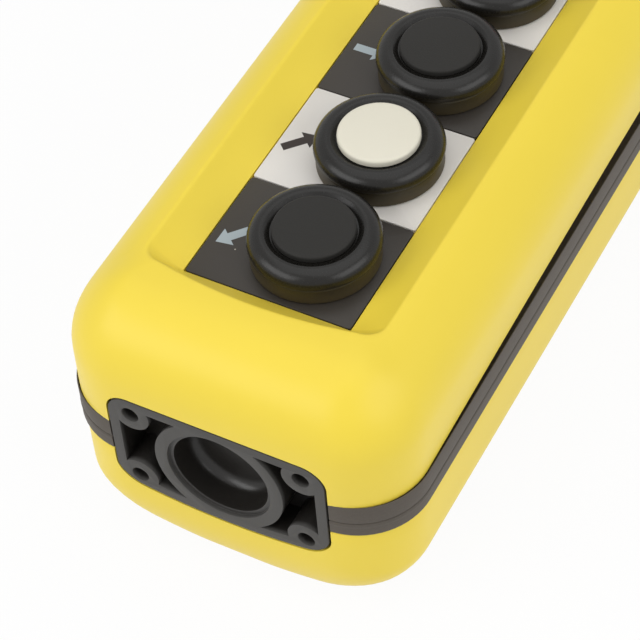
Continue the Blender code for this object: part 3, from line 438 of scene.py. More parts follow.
def draw(name, points):
    """Draws a line of (x, z) points by extruding one point again and again."""
    deselect()
    first = points[0]
    bpy.ops.mesh.primitive_plane_add(size=MM, location=(first[0], 0.0, first[1]))
    piece = begin(name)
    with editing(piece, "VERT"):
        bpy.ops.mesh.select_all(action="SELECT")
        bpy.ops.mesh.merge(type="CENTER")
        for here, ahead in zip(points, points[1:]):
            step = (ahead[0] - here[0], 0.0, ahead[1] - here[1])
            bpy.ops.mesh.extrude_region_move(TRANSFORM_OT_translate={"value": step})
    return piece


def turned(name, points, steps=TURN_STEPS):
    """Spins an outline of (radius, height) points about the upright axis."""
    piece = draw(name, points)
    with editing(piece, "VERT"):
        bpy.ops.mesh.select_all(action="SELECT")
        bpy.ops.mesh.spin(steps=steps, angle=2.0 * math.pi, center=(0.0, 0.0, 0.0), axis=(0.0, 0.0, 1.0))
        bpy.ops.mesh.select_all(action="SELECT")
        bpy.ops.mesh.remove_doubles(threshold=MERGE)
        bpy.ops.mesh.normals_make_consistent(inside=False)
    return smooth(piece)


def placed(piece, location, rotation=(0.0, 0.0, 0.0)):
    piece.location = location
    piece.rotation_euler = rotation
    return settle(piece)


def copied(piece, name, step):
    """A copy with its own mesh, moved by a step."""
    made = piece.copy()
    made.data = piece.data.copy()
    made.name = name
    made.data.name = name
    bpy.context.scene.collection.objects.link(made)
    return placed(made, step)


def fitted(piece, body, slot, *nodes):
    """Attaches a finished piece to its body and hides the CAD nodes that it stands for."""
    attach(piece, body)
    if nodes:
        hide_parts(*nodes)
    return piece


def coat(piece, material):
    piece.data.materials.clear()
    piece.data.materials.append(material)
    return piece


# Shells, lofted because their section changes round the plan

def loft(name, rings, crowned=False):
    """Joins closed rings of points and closes the first and the last. A crowned first ring gets strips."""
    shape = bmesh.new()
    loops = [[shape.verts.new(point) for point in ring] for ring in rings]
    for lower, upper in zip(loops, loops[1:]):
        for i in range(len(lower)):
            j = (i + 1) % len(lower)
            shape.faces.new((lower[i], lower[j], upper[j], upper[i]))
    for face in strips(loops[0]) if crowned else [loops[0]]:
        shape.faces.new(face)
    shape.faces.new(loops[-1])
    bmesh.ops.recalc_face_normals(shape, faces=shape.faces)
    mesh = bpy.data.meshes.new(name)
    shape.to_mesh(mesh)
    shape.free()
    made = bpy.data.objects.new(name, mesh)
    bpy.context.scene.collection.objects.link(made)
    return made


def strips(loop):
    """Cuts a plan ring, whose two ends are crowned alike, into strips that run from end to end."""
    corner = CORNER_STEPS + 1
    end = 2 * corner + END_STEPS - 1
    first = corner + SIDE_STEPS - 1
    high = loop[first : first + end]
    low = (loop[first + end + SIDE_STEPS - 1 :] + loop[:corner])[::-1]
    right = loop[corner : first]
    left = loop[first + end : first + end + SIDE_STEPS - 1]
    faces = [[low[0], *right, high[0], high[1], low[1]], [high[-2], high[-1], *left, low[-1], low[-2]]]
    for i in range(1, end - 2):
        faces.append([low[i], low[i + 1], high[i + 1], high[i]])
    return faces


def spread(points, fractions):
    """Points at these fractions of a line's length."""
    steps = [(b - a).length for a, b in zip(points, points[1:])]
    total = sum(steps)
    found = []
    for fraction in fractions:
        left = fraction * total
        for i, step in enumerate(steps):
            if left <= step or i == len(steps) - 1:
                found.append(points[i].lerp(points[i + 1], min(left / step, 1.0)))
                break
            left -= step
    return found


def ease_in(share):
    share = min(max(share, 0.0), 1.0)
    return share * share * (3.0 - 2.0 * share)


def plan_ring(side, low, high, radius, bow=0.0, side_lift=None):
    """One ring of a shell. side, low and high are (inset, level) at the sides and at the two ends."""
    half = HALF_WIDTH - side[0]
    corners = [
        (half, LOW_END + low[0], -90.0, low[1]),
        (half, HIGH_END - high[0], 0.0, high[1]),
        (-half, HIGH_END - high[0], 90.0, high[1]),
        (-half, LOW_END + low[0], 180.0, low[1]),
    ]
    points = []
    for number, (x, y, start, end_level) in enumerate(corners):
        inward_x = -math.copysign(radius, x)
        inward_y = radius if start in (-90.0, 180.0) else -radius
        to_end = start in (0.0, 180.0)
        for step in range(CORNER_STEPS + 1):
            share = step / CORNER_STEPS
            angle = math.radians(start + 90.0 * share)
            toward = ease_in(share if to_end else 1.0 - share)
            level = side[1] + (end_level - side[1]) * toward
            here = (x + inward_x + radius * math.cos(angle), y + inward_y + radius * math.sin(angle))
            points.append(Vector((*here, level)))
        if number in (0, 2):
            first, last = corners[number][1], corners[number + 1][1]
            run = last - first - math.copysign(2.0 * radius, last - first)
            for step in range(1, SIDE_STEPS):
                along = first + math.copysign(radius, run) + run * step / SIDE_STEPS
                lift = side_lift(along) if side_lift else 0.0
                points.append(Vector((x, along, side[1] + lift)))
        else:
            reach = half - radius
            outward = 1.0 if number == 1 else -1.0
            for step in range(1, END_STEPS):
                share = 1.0 - 2.0 * step / END_STEPS
                x_here = reach * share * outward
                y_here = y + outward * bow * (1.0 - share * share)
                points.append(Vector((x_here, y_here, end_level)))
    return points


def rim_arc(sizes, end_angle, step=5.0):
    """Rounding of the front shell's rim as (inset, level, 0) corners."""
    centre = RIM_TOP - sizes.rim
    corners = []
    angle = 0.0
    while angle < end_angle:
        turned_by = math.radians(angle)
        corners.append((sizes.rim * (1.0 - math.cos(turned_by)), centre + sizes.rim * math.sin(turned_by), 0.0))
        angle += step
    return corners


def halves(corners, crest, fillet):
    """Splits a section at its crest: the outside up to the crest, and the slope down from it."""
    points = soften(corners[:crest] + [(*corners[crest][:2], fillet)] + corners[crest + 1:], 2 * FILLET_STEPS)
    top = crest + FILLET_STEPS
    return points[: top + 1], points[top:]


def slope(run_start, run, foot, rise, hollow, steps=8):
    """A hollow slope from a crest down to the legends, without its first point."""
    corners = []
    for step in range(1, steps + 1):
        share = 1.0 - step / steps
        height = rise * ((1.0 - hollow) * share + hollow * share * share)
        corners.append((run_start + run * (1.0 - share), foot + height, 0.0))
    return corners


def front_sections(sizes):
    """The sections of the front shell at a side, at the low end and at the high end."""
    crest_inset = HALF_WIDTH + sizes.bulge - sizes.crest
    crest_angle = math.acos(1.0 - crest_inset / sizes.rim)
    crest_level = RIM_TOP - sizes.rim * (1.0 - math.sin(crest_angle))
    side = rim_arc(sizes, math.degrees(crest_angle) - 6.0)
    crest = len(side)
    side.append((crest_inset, crest_level, 0.0))
    run = sizes.crest - LEGEND_HALF - sizes.gap
    side += slope(crest_inset, run, LEGEND_FACE, crest_level - LEGEND_FACE, 0.42)
    side = [(inset - sizes.bulge, level, radius) for inset, level, radius in side]
    parts = [halves(side, crest, sizes.side_fillet)]
    for foot in (LEGENDS[0][0].y - LOW_END, HIGH_END - STOP_PLATE[1].y):
        inset = foot - sizes.gap - sizes.end_run
        end = rim_arc(sizes, 91.0)
        crest = len(end)
        end.append((inset, RIM_TOP, 0.0))
        end += slope(inset, sizes.end_run, LEGEND_FACE, RIM_TOP - LEGEND_FACE, 0.2)
        parts.append(halves(end, crest, sizes.end_fillet))
    return parts


def front_outside(sizes):
    """Rings from the tangent of the rim over the crest and down to the floor under the legends."""
    (side_up, side_down), (low_up, low_down), (high_up, high_down) = front_sections(sizes)
    up = [1.0 - (1.0 - i / 26) ** 1.5 for i in range(27)]
    down = [(i / 16) ** 1.4 for i in range(1, 17)]
    side = spread(side_up, up) + spread(side_down, down)
    low = spread(low_up, up) + spread(low_down, down)
    high = spread(high_up, up) + spread(high_down, down)
    rings = []
    for i, (s, lo, hi) in enumerate(zip(side, low, high)):
        if i < len(up):
            share = ease_in((s[0] / (HALF_WIDTH - sizes.crest) - 0.2) / 0.8)
            radius = max(sizes.corner - s[0], 0.0) * (1.0 - share) + sizes.recess_corner * share
            bow = sizes.end_bow * ease_in((lo[0] - sizes.rim) / (low_up[-1][0] - sizes.rim))
        else:
            share = 1.0 - (s[0] - side[len(up) - 1][0]) / (side[-1][0] - side[len(up) - 1][0])
            radius = sizes.recess_corner * share + sizes.gap
            bow = sizes.end_bow * share
        rings.append(plan_ring(s, lo, hi, radius, bow))
    return rings


def level_ring(inset, radius, level, lift=None, bulge=0.0):
    return plan_ring((inset - bulge, level), (inset, level), (inset, level), radius, side_lift=lift)


def front_shell(sizes, band):
    """Front shell: rim, recess and floor outside, an even wall inside."""
    edge = BAND[1].z - band.tongue - sizes.edge_drop
    reach = (HIGH_END - LOW_END) / 2 - sizes.corner
    centre = (HIGH_END + LOW_END) / 2

    def lift(y):
        share = (y - centre) / reach
        return sizes.edge_bow * max(1.0 - share * share, 0.0)

    floor_top = LEGEND_BACK - sizes.gap
    floor_bottom = floor_top - sizes.floor
    rings = []
    inner = sizes.rim - sizes.wall
    top_angle = math.asin((floor_bottom - RIM_TOP + sizes.rim) / inner)
    for step in range(9):
        angle = top_angle * (1.0 - step / 8)
        drawn = inner * (1.0 - math.cos(angle)) + sizes.wall
        level = RIM_TOP - sizes.rim + inner * math.sin(angle)
        rings.append(level_ring(drawn, max(sizes.corner - drawn, MM), level))
    corner = sizes.corner
    rings.append(level_ring(sizes.wall, corner - sizes.wall, edge + sizes.edge, lift))
    rings.append(level_ring(sizes.wall - sizes.edge, corner - sizes.wall + sizes.edge, edge, lift))
    for step in range(4):
        angle = math.radians(30.0 * step)
        inset = sizes.edge * (1.0 - math.sin(angle))
        level = edge + sizes.edge * (1.0 - math.cos(angle))
        rings.append(level_ring(inset, corner - inset, level, lift, sizes.bulge))
    outside = front_outside(sizes)
    rings += outside
    foot = [Vector((p.x, p.y, floor_top)) for p in outside[-1]]
    rings.append(foot)
    return loft("front_cover", rings)


def back_rings(sizes, wall, steps=12):
    """Rings of the back shell from its crowned back up to the ends of the rounding."""
    rings = []
    side_radius = sizes.back_side - wall
    end_height = sizes.back_height - wall
    corner = sizes.corner - wall
    for step in range(steps + 1):
        angle = math.radians(90.0 * step / steps)
        drawn = 1.0 - math.sin(angle)
        side = side_radius * drawn + wall
        end = (sizes.back_run - wall) * drawn + wall
        ring = plan_ring((side, 0.0), (end, 0.0), (end, 0.0), corner)
        inner_half = HALF_WIDTH - side - corner
        for point in ring:
            share = ease_in((abs(point.x) - inner_half) / corner)
            height = end_height + (side_radius - end_height) * share
            point.z = wall + height * (1.0 - math.cos(angle)) + crown(sizes, point.x)
        rings.append(ring)
    return rings


def crown(sizes, x):
    flat = sizes.flat / (2.0 * HALF_WIDTH)
    return sizes.crown * max((x / HALF_WIDTH) ** 2 - flat * flat, 0.0)


def back_outside(sizes, band):
    """The back shell filled up to its seam."""
    top = BAND[0].z + band.tongue - sizes.gap
    rings = back_rings(sizes, 0.0)
    rings.append(level_ring(0.0, sizes.corner, top - 5.0 * MM))
    for step in range(4):
        angle = math.radians(30.0 * step)
        inset = sizes.edge * (1.0 - math.cos(angle))
        rings.append(level_ring(inset, sizes.corner - inset, top - sizes.edge * (1.0 - math.sin(angle))))
    return loft("back_cover", rings, crowned=True)


def back_inside(sizes):
    """The space inside the back shell, a little taller than the shell."""
    rings = back_rings(sizes, sizes.wall)
    rings.append(level_ring(sizes.wall, sizes.corner - sizes.wall, SEAM))
    return loft("back_space", rings, crowned=True)


def plate_blank(name, sizes, offset, front, back):
    """The end plate's outline as a slab: round corners and a lower edge that sags."""
    low, high = PLATE
    half = high.x + offset
    top = high.z - sizes.lip + offset
    bottom = low.z + sizes.lip - offset
    piece = block(name, (-half, LOW_END + front, bottom), (half, LOW_END + back, top))
    with editing(piece):
        for radius, upper in ((sizes.top_radius, True), (sizes.bottom_radius, False)):
            choose(piece, "EDGE", lambda e: runs_along(e, 1) and (middle(e).z > (top + bottom) / 2) == upper)
            bpy.ops.mesh.bevel(offset=radius + offset, segments=10, affect="EDGES", offset_type="OFFSET")
        choose(piece, "EDGE", lambda e: runs_along(e, 0) and middle(e).z < bottom + MERGE)
        bpy.ops.mesh.subdivide(number_cuts=23)
    reach = sizes.bottom_radius * 2.0
    for point in piece.data.vertices:
        below = min(max(1.0 - (point.co.z - bottom) / reach, 0.0), 1.0)
        point.co.z += sizes.sag * (point.co.x / half) ** 2 * below
    return piece


def hole_places(sizes):
    top = PLATE[1].z - sizes.lip - sizes.hole_inset
    across = sizes.hole_span / 2
    return [(x, z) for x in (-across, across) for z in (top, top - sizes.hole_height)]


class PENDANT_OT_front_shell(bpy.types.Operator):
    """Front shell with its rim and legend recess"""

    bl_idname = "pendant.front_shell"
    bl_label = "Front shell"

    def execute(self, context):
        sizes = context.scene.pendant_housing
        shell = front_shell(sizes, context.scene.pendant_band)
        cut_openings(context, shell)
        for number, y in enumerate(SWITCHES):
            start = (SWITCH_X, y, LEGEND_BACK - CENTIMETRE)
            combine(shell, rod(f"switch_hole_{number}", SWITCH_HOLE, start, (SWITCH_X, y, RIM_TOP)))
        smooth(shell)
        coat(shell, FINISHES["yellow"])
        fitted(shell, HOUSING, "yellow_shell", "front_shell")
        return {"FINISHED"}


def cut_openings(context, shell):
    """Openings for the end plate and for the cable sleeve."""
    plate = context.scene.pendant_plate
    sleeve = context.scene.pendant_sleeve
    combine(shell, plate_blank("plate_opening", plate, plate.opening_gap, -OUT, plate.opening_depth))
    centre = (SLEEVE[0].z + SLEEVE[1].z) / 2
    start = (0.0, HIGH_END - 4.0 * MM, centre)
    combine(shell, rod("sleeve_opening", sleeve.neck + sleeve.gap, start, (0.0, HIGH_END + OUT, centre)))


class PENDANT_OT_back_shell(bpy.types.Operator):
    """Back shell with the pockets for the housing screws"""

    bl_idname = "pendant.back_shell"
    bl_label = "Back shell"

    def execute(self, context):
        sizes = context.scene.pendant_housing
        shell = back_outside(sizes, context.scene.pendant_band)
        space = back_inside(sizes)
        pockets = []
        for number, (low, high) in enumerate(SCREWS):
            x, y = (low.x + high.x) / 2, (low.y + high.y) / 2
            top = sizes.pocket_depth + sizes.wall
            outer = sizes.pocket + sizes.pocket_wall
            combine(space, rod(f"boss_{number}", outer, (x, y, 0.0), (x, y, top), 40))
            pockets.append(rod(f"pocket_{number}", sizes.pocket, (x, y, -MM), (x, y, sizes.pocket_depth), 40))
        combine(shell, space)
        for pocket in pockets:
            combine(shell, pocket)
        cut_openings(context, shell)
        smooth(shell)
        coat(shell, FINISHES["yellow"])
        fitted(shell, HOUSING, "yellow_shell", "back_shell")
        return {"FINISHED"}


class PENDANT_OT_seam_bands(bpy.types.Operator):
    """Rubber bands in the seam between the shells"""

    bl_idname = "pendant.seam_bands"
    bl_label = "Seam bands"

    def execute(self, context):
        sizes = context.scene.pendant_band
        low = BAND[0].z + sizes.tongue
        high = BAND[1].z - sizes.tongue
        lip = high - sizes.lip_drop
        seam = (low + high) / 2 - sizes.groove_drop
        inner = sizes.tongue_depth
        back = inner + sizes.tongue_wall
        corners = [
            (sizes.ridge, low, sizes.edge),
            (sizes.ridge, seam - 1.6 * MM, 0.1 * MM),
            (0.0, seam - 1.0 * MM, 0.2 * MM),
            (sizes.ridge, seam - 0.4 * MM, 0.05 * MM),
            (sizes.groove, seam - 0.15 * MM, 0.05 * MM),
            (sizes.ridge, seam + 0.15 * MM, 0.05 * MM),
            (sizes.ridge, lip, sizes.edge),
            (sizes.ridge + sizes.lip, lip, 0.1 * MM),
            (sizes.ridge + sizes.lip + 0.1 * MM, lip - sizes.trench, 0.1 * MM),
            (inner, lip - sizes.trench, 0.0),
            (inner, high + sizes.tongue, 0.3 * MM),
            (back, high + sizes.tongue, 0.3 * MM),
            (back, low - sizes.tongue, 0.3 * MM),
            (inner, low - sizes.tongue, 0.3 * MM),
            (inner, low, 0.0),
        ]
        outline = soften(corners, 3, closed=True)
        centre_x = BAND_SIDE - sizes.corner
        low_y = BAND[0].y + sizes.corner
        high_y = BAND[1].y - sizes.corner
        turned_by = math.asin((PLATE[1].x + sizes.end_gap - centre_x) / sizes.corner)
        first = draw("seam_seal_right", outline + outline[:1])
        with editing(first, "VERT"):
            bpy.ops.mesh.select_all(action="SELECT")
            bpy.ops.mesh.remove_doubles(threshold=MERGE)
            bpy.ops.mesh.select_all(action="SELECT")
            bpy.ops.mesh.edge_face_add()
        # The section's depth points inwards, from the corner's axis outwards to the edge of the end plate
        reach_x = centre_x + sizes.corner * math.sin(turned_by)
        reach_y = low_y - sizes.corner * math.cos(turned_by)
        placed(first, (reach_x, reach_y, 0.0), (0.0, 0.0, math.radians(90.0) + turned_by))
        with editing(first, "FACE"):
            bpy.ops.mesh.select_all(action="SELECT")
            sweep(centre_x, low_y, math.radians(90.0) - turned_by)
            for _ in range(24):
                step = (0.0, (high_y - low_y) / 24, 0.0)
                bpy.ops.mesh.extrude_region_move(TRANSFORM_OT_translate={"value": step})
            sweep(centre_x, high_y, math.radians(90.0))
            run = centre_x - (SLEEVE[1].x + sizes.end_gap)
            bpy.ops.mesh.extrude_region_move(TRANSFORM_OT_translate={"value": (-run, 0.0, 0.0)})
            bpy.ops.mesh.select_all(action="SELECT")
            bpy.ops.mesh.remove_doubles(threshold=MERGE)
            bpy.ops.mesh.normals_make_consistent(inside=False)
        smooth(first)
        second = copied(first, "seam_seal_left", (0.0, 0.0, 0.0))
        second.scale = (-1.0, 1.0, 1.0)
        settle(second)
        with editing(second, "FACE"):
            bpy.ops.mesh.select_all(action="SELECT")
            bpy.ops.mesh.normals_make_consistent(inside=False)
        for piece, node in ((first, "seam_band_right"), (second, "seam_band_left")):
            coat(piece, FINISHES["band"])
            fitted(piece, HOUSING, "seam_rubber", node)
        return {"FINISHED"}


def sweep(x, y, angle, steps=16):
    """Spins the selected section anticlockwise about an upright corner axis."""
    bpy.ops.mesh.spin(steps=steps, angle=-angle, center=(x, y, 0.0), axis=(0.0, 0.0, 1.0))


class PENDANT_OT_end_plate(bpy.types.Operator):
    """End plate with its blanked port, pockets and screw bosses"""

    bl_idname = "pendant.end_plate"
    bl_label = "End plate"

    def execute(self, context):
        sizes = context.scene.pendant_plate
        depth = sizes.thickness
        port = SEAM + sizes.reveal - sizes.port_drop
        plate = plate_blank("accessory_plate", sizes, 0.0, 0.0, depth)
        half = PLATE[1].x - sizes.top_radius
        lips = block("lips", (-half, LOW_END + 3.3 * MM, PLATE[0].z), (half, LOW_END + 5.3 * MM, PLATE[1].z))
        combine(plate, lips, "UNION")
        pockets = plate_blank("pockets", sizes, -sizes.frame, -OUT, sizes.pocket)
        start = LOW_END - 2.0 * OUT
        ring = rod("ring", sizes.ring, (0.0, start, port), (0.0, LOW_END + depth, port), 96)
        combine(pockets, ring)
        for number, (x, z) in enumerate(hole_places(sizes)):
            boss = rod(f"boss_{number}", sizes.boss, (x, start, z), (x, LOW_END + depth, z), 40)
            combine(pockets, boss)
        combine(plate, pockets)
        dish = [
            (0.0, -OUT, 0.0),
            (sizes.ledge, -OUT, 0.0),
            (sizes.ledge, sizes.ledge_depth, 0.1 * MM),
            (sizes.port, sizes.ledge_depth, 0.1 * MM),
            (sizes.port, sizes.port_depth, sizes.port_fillet),
            (0.0, sizes.port_depth, 0.0),
        ]
        cutter = turned("dish", soften(dish, 8), 96)
        combine(plate, placed(cutter, (0.0, LOW_END, port), (math.radians(-90.0), 0.0, 0.0)))
        for number, (x, z) in enumerate(hole_places(sizes)):
            start = (x, LOW_END - OUT, z)
            combine(plate, rod(f"hole_{number}", sizes.hole, start, (x, LOW_END + sizes.hole_depth, z), 32))
        ease(plate, sizes.edge)
        smooth(plate)
        coat(plate, FINISHES["plate"])
        fitted(plate, HOUSING, "black_moulding", "end_plate")
        return {"FINISHED"}


class PENDANT_OT_cable_sleeve(bpy.types.Operator):
    """Tapered rubber sleeve for the control cable"""

    bl_idname = "pendant.cable_sleeve"
    bl_label = "Cable sleeve"

    def execute(self, context):
        sizes = context.scene.pendant_sleeve
        outer = (SLEEVE[1].x - SLEEVE[0].x) / 2
        reach = SLEEVE[1].y - HIGH_END
        inside = SLEEVE[0].y - HIGH_END
        face = inside + sizes.collar
        start = 3.0 * MM
        root = outer - sizes.rib
        step = (reach - start) / (sizes.ribs + 0.5)
        corners = [
            (sizes.bore, inside, 0.4 * MM),
            (outer, inside, 0.4 * MM),
            (outer, face, 0.3 * MM),
            (sizes.neck, face, 0.3 * MM),
            (sizes.neck, 0.3 * MM, 0.3 * MM),
            (outer, 0.3 * MM, 0.3 * MM),
            (outer, start, 0.8 * MM),
        ]
        for rib in range(sizes.ribs):
            low = start + step * (rib + 0.5)
            radius = root + (sizes.tip - root) * (low - start) / (reach - start)
            corners.append((radius, low - 0.06 * step, 0.8 * MM))
            corners.append((radius, low, 0.5 * MM))
            corners.append((radius + sizes.rib, low + 0.12 * step, 0.7 * MM))
            corners.append((radius + 0.7 * sizes.rib, low + 0.5 * step, 1.6 * MM))
        corners.append((sizes.tip, reach, 0.7 * MM))
        corners.append((sizes.bore, reach, 0.5 * MM))
        outline = soften(corners, 4, closed=True)
        sleeve = turned("cable_gland", outline + outline[:1], 64)
        centre = (SLEEVE[0].z + SLEEVE[1].z) / 2
        placed(sleeve, (0.0, HIGH_END, centre), (math.radians(-90.0), 0.0, 0.0))
        coat(sleeve, FINISHES["sleeve"])
        fitted(sleeve, HOUSING, "sleeve_rubber", "cable_sleeve")
        return {"FINISHED"}


class PENDANT_OT_legends(bpy.types.Operator):
    """Legend plates with their printed arrows"""

    bl_idname = "pendant.legends"
    bl_label = "Legends and arrows"

    def execute(self, context):
        sizes = context.scene.pendant_print
        for i, (low, high) in enumerate(LEGENDS):
            white = i % 2 == 1
            plate = self.plate(f"legend_{i + 1}", sizes, low, high, SWITCHES[i])
            coat(plate, FINISHES["white_print" if white else "dark_print"])
            fitted(plate, HOUSING, "light_legend" if white else "dark_legend", f"legend_plate_{i + 1}")
        plate = self.plate("stop_legend", sizes, *STOP_PLATE, SWITCHES[-1])
        coat(plate, FINISHES["stop_print"])
        fitted(plate, HOUSING, "stop_legend", "stop_legend_plate")
        for i, (x, y, heading, shaft) in enumerate(ARROWS):
            place = (x * MM, SWITCHES[i] + y * MM)
            self.arrow(f"arrow_{i + 1}", sizes, place, heading, shaft * MM, i % 2 == 1)
        return {"FINISHED"}

    def plate(self, name, sizes, low, high, y):
        piece = block(name, low, high)
        with editing(piece):
            choose(piece, "EDGE", lambda e: runs_along(e, 2))
            bpy.ops.mesh.bevel(offset=sizes.corner, segments=5, affect="EDGES")
            choose(piece, "EDGE", lambda e: min(v.co.z for v in e.verts) > high.z - MERGE)
            bpy.ops.mesh.bevel(offset=sizes.edge, segments=2, affect="EDGES")
        combine(piece, rod("hole", SWITCH_HOLE, (SWITCH_X, y, low.z - MM), (SWITCH_X, y, high.z + MM), 48))
        return smooth(piece)

    def arrow(self, name, sizes, place, heading, shaft, dark):
        deselect()
        bpy.ops.mesh.primitive_plane_add(size=1.0)
        bpy.context.object.scale = (shaft, sizes.shaft, 1.0)
        piece = begin(name)
        with editing(piece):
            choose(piece, "EDGE", lambda e: middle(e).x > shaft / 2 - MERGE)
            bpy.ops.mesh.extrude_region_move(TRANSFORM_OT_translate={"value": (0.0, 0.0, 0.0)})
            bpy.ops.transform.resize(value=(1.0, sizes.head / sizes.shaft, 1.0))
            bpy.ops.mesh.extrude_region_move(TRANSFORM_OT_translate={"value": (sizes.head_length, 0.0, 0.0)})
            bpy.ops.mesh.merge(type="CENTER")
        modify(piece, "SOLIDIFY", thickness=sizes.ink, offset=1.0)
        placed(piece, (*place, LEGEND_FACE), (0.0, 0.0, math.radians(heading)))
        coat(piece, FINISHES["dark_arrow" if dark else "pale_arrow"])
        fitted(piece, HOUSING, "dark_legend" if dark else "light_legend")


# Middle of each arrow's shaft beside its switch, in millimetres across the legend and along it, its heading in
# degrees, and the length of the shaft in millimetres
ARROWS = [
    (-13.9, -1.4, 228.8, 4.9),
    (-16.0, -3.2, 47.2, 5.5),
    (-15.2, -0.4, 0.0, 4.9),
    (-15.4, -0.4, 180.0, 4.9),
    (-15.0, -0.4, 270.0, 4.9),
    (-15.0, -0.4, 90.0, 4.9),
]


class PENDANT_OT_boots(bpy.types.Operator):
    """Rubber boots round the push buttons"""

    bl_idname = "pendant.boots"
    bl_label = "Boots"

    def execute(self, context):
        sizes = context.scene.pendant_button
        base = LEGEND_FACE
        crease = base + sizes.crease
        web = base + sizes.web
        flange = sizes.flange
        corners = [
            (SWITCH_HOLE, SEAT, 0.1 * MM),
            (sizes.foot, SEAT, 0.25 * MM),
            (sizes.foot - 0.1 * MM, crease - 0.5 * MM, 0.4 * MM),
            (sizes.crease_radius, crease, 0.15 * MM),
            (sizes.roll - 0.05 * MM, crease + 0.35 * MM, 0.12 * MM),
        ]
        across = sizes.roll - sizes.crest
        rise = sizes.roll_top - sizes.roll_bottom
        for angle in range(0, 91, 9):
            turned_by = math.radians(angle)
            height = base + sizes.roll_bottom + rise * math.sin(turned_by)
            corners.append((sizes.crest + across * math.cos(turned_by), height, 0.0))
        corners += [
            (sizes.crest - 0.6 * MM, base + sizes.roll_top - 0.1 * MM, 0.6 * MM),
            (sizes.mouth, web + 0.1 * MM, 0.3 * MM),
            (sizes.stem_hole, web, 0.0),
            (sizes.stem_hole, web - MM, 0.0),
            (sizes.inside, web - MM, 0.3 * MM),
            (sizes.inside, SEAT + flange, 0.3 * MM),
            (SWITCH_HOLE, SEAT + flange, 0.1 * MM),
        ]
        outline = soften(corners, 6, closed=True)
        first = turned("rubber_boot_1", outline + outline[:1])
        placed(first, (SWITCH_X, SWITCHES[0], 0.0))
        coat(first, FINISHES["rubber"])
        for i in range(BUTTONS):
            step = (0.0, SWITCHES[i] - SWITCHES[0], 0.0)
            boot = copied(first, f"rubber_boot_{i + 1}", step) if i else first
            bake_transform(boot)
            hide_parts(f"boot_{i + 1}")
        return {"FINISHED"}


class PENDANT_OT_caps(bpy.types.Operator):
    """Caps of the push buttons, dark and cream in turn"""

    bl_idname = "pendant.caps"
    bl_label = "Button caps"

    def execute(self, context):
        sizes = context.scene.pendant_button
        base = LEGEND_FACE
        seat = base + sizes.web + 0.2 * MM
        stem = [
            (0.0, base + sizes.spigot_roof, 0.0),
            (sizes.spigot, base + sizes.spigot_roof, 0.0),
            (sizes.spigot, base + sizes.stem_foot, 0.0),
            (sizes.stem, base + sizes.stem_foot, 0.0),
            (sizes.stem, seat, 0.0),
        ]
        kinds = (("dark_cap", sizes.cap, 0.0), ("cream_cap", sizes.cream_cap, sizes.cream_rise))
        for kind, (slot, radius, rise) in enumerate(kinds):
            top = base + sizes.cap_top + rise
            rim = [(radius, seat, 0.1 * MM), (radius, top - sizes.crown, sizes.cap_edge), (0.0, top, 0.0)]
            first = turned(f"cap_{kind + 1}", soften(stem + rim, 4))
            placed(first, (SWITCH_X, SWITCHES[kind], 0.0))
            coat(first, FINISHES[slot])
            for i in range(kind, BUTTONS, 2):
                step = (0.0, SWITCHES[i] - SWITCHES[kind], 0.0)
                cap = copied(first, f"cap_{i + 1}", step) if i > kind else first
                fitted(cap, f"button_{i + 1}", slot, f"button_cap_{i + 1}")
        return {"FINISHED"}


class PENDANT_OT_emergency_stop(bpy.types.Operator):
    """Bezel and mushroom head of the stop button"""

    bl_idname = "pendant.emergency_stop"
    bl_label = "Emergency stop"

    def execute(self, context):
        place = (SWITCH_X, SWITCHES[-1], 0.0)
        low, high = BEZEL
        outer = (high.x - low.x) / 2
        collar_wall = 3.0 * MM
        inner = outer - collar_wall
        corners = [
            (inner, low.z, 0.1 * MM),
            (outer, low.z, 0.3 * MM),
            (outer, high.z - 2.8 * MM, 1.2 * MM),
            (outer - 1.4 * MM, high.z, 0.8 * MM),
            (inner, high.z, 0.3 * MM),
        ]
        outline = soften(corners, 5, closed=True)
        bezel = placed(turned("stop_collar", outline + outline[:1]), place)
        coat(bezel, FINISHES["moulding"])
        fitted(bezel, HOUSING, "black_moulding", "stop_bezel")

        low, high = MUSHROOM
        outer = (high.x - low.x) / 2
        neck = 12.6 * MM
        hollow = neck - 3.1 * MM
        socket = 5.3 * MM
        under = high.z - 10.6 * MM
        corners = [
            (0.0, under + 4.0 * MM, 0.0),
            (socket, under + 4.0 * MM, 0.0),
            (socket, under - 1.0 * MM, 0.0),
            (hollow, under - 1.0 * MM, 0.0),
            (hollow, low.z, 0.2 * MM),
            (neck, low.z, 0.2 * MM),
            (neck, under, 0.6 * MM),
            (outer - 2.2 * MM, under, 0.8 * MM),
            (outer, under + 3.4 * MM, 2.4 * MM),
            (outer - 0.6 * MM, high.z - 2.6 * MM, 2.6 * MM),
            (outer - 5.0 * MM, high.z - 0.55 * MM, 4.0 * MM),
            (0.0, high.z, 0.0),
        ]
        head = placed(turned("stop_head_cap", soften(corners, 7)), place)
        coat(head, FINISHES["red"])
        fitted(head, "stop_head", "red_moulding", "stop_mushroom")
        return {"FINISHED"}


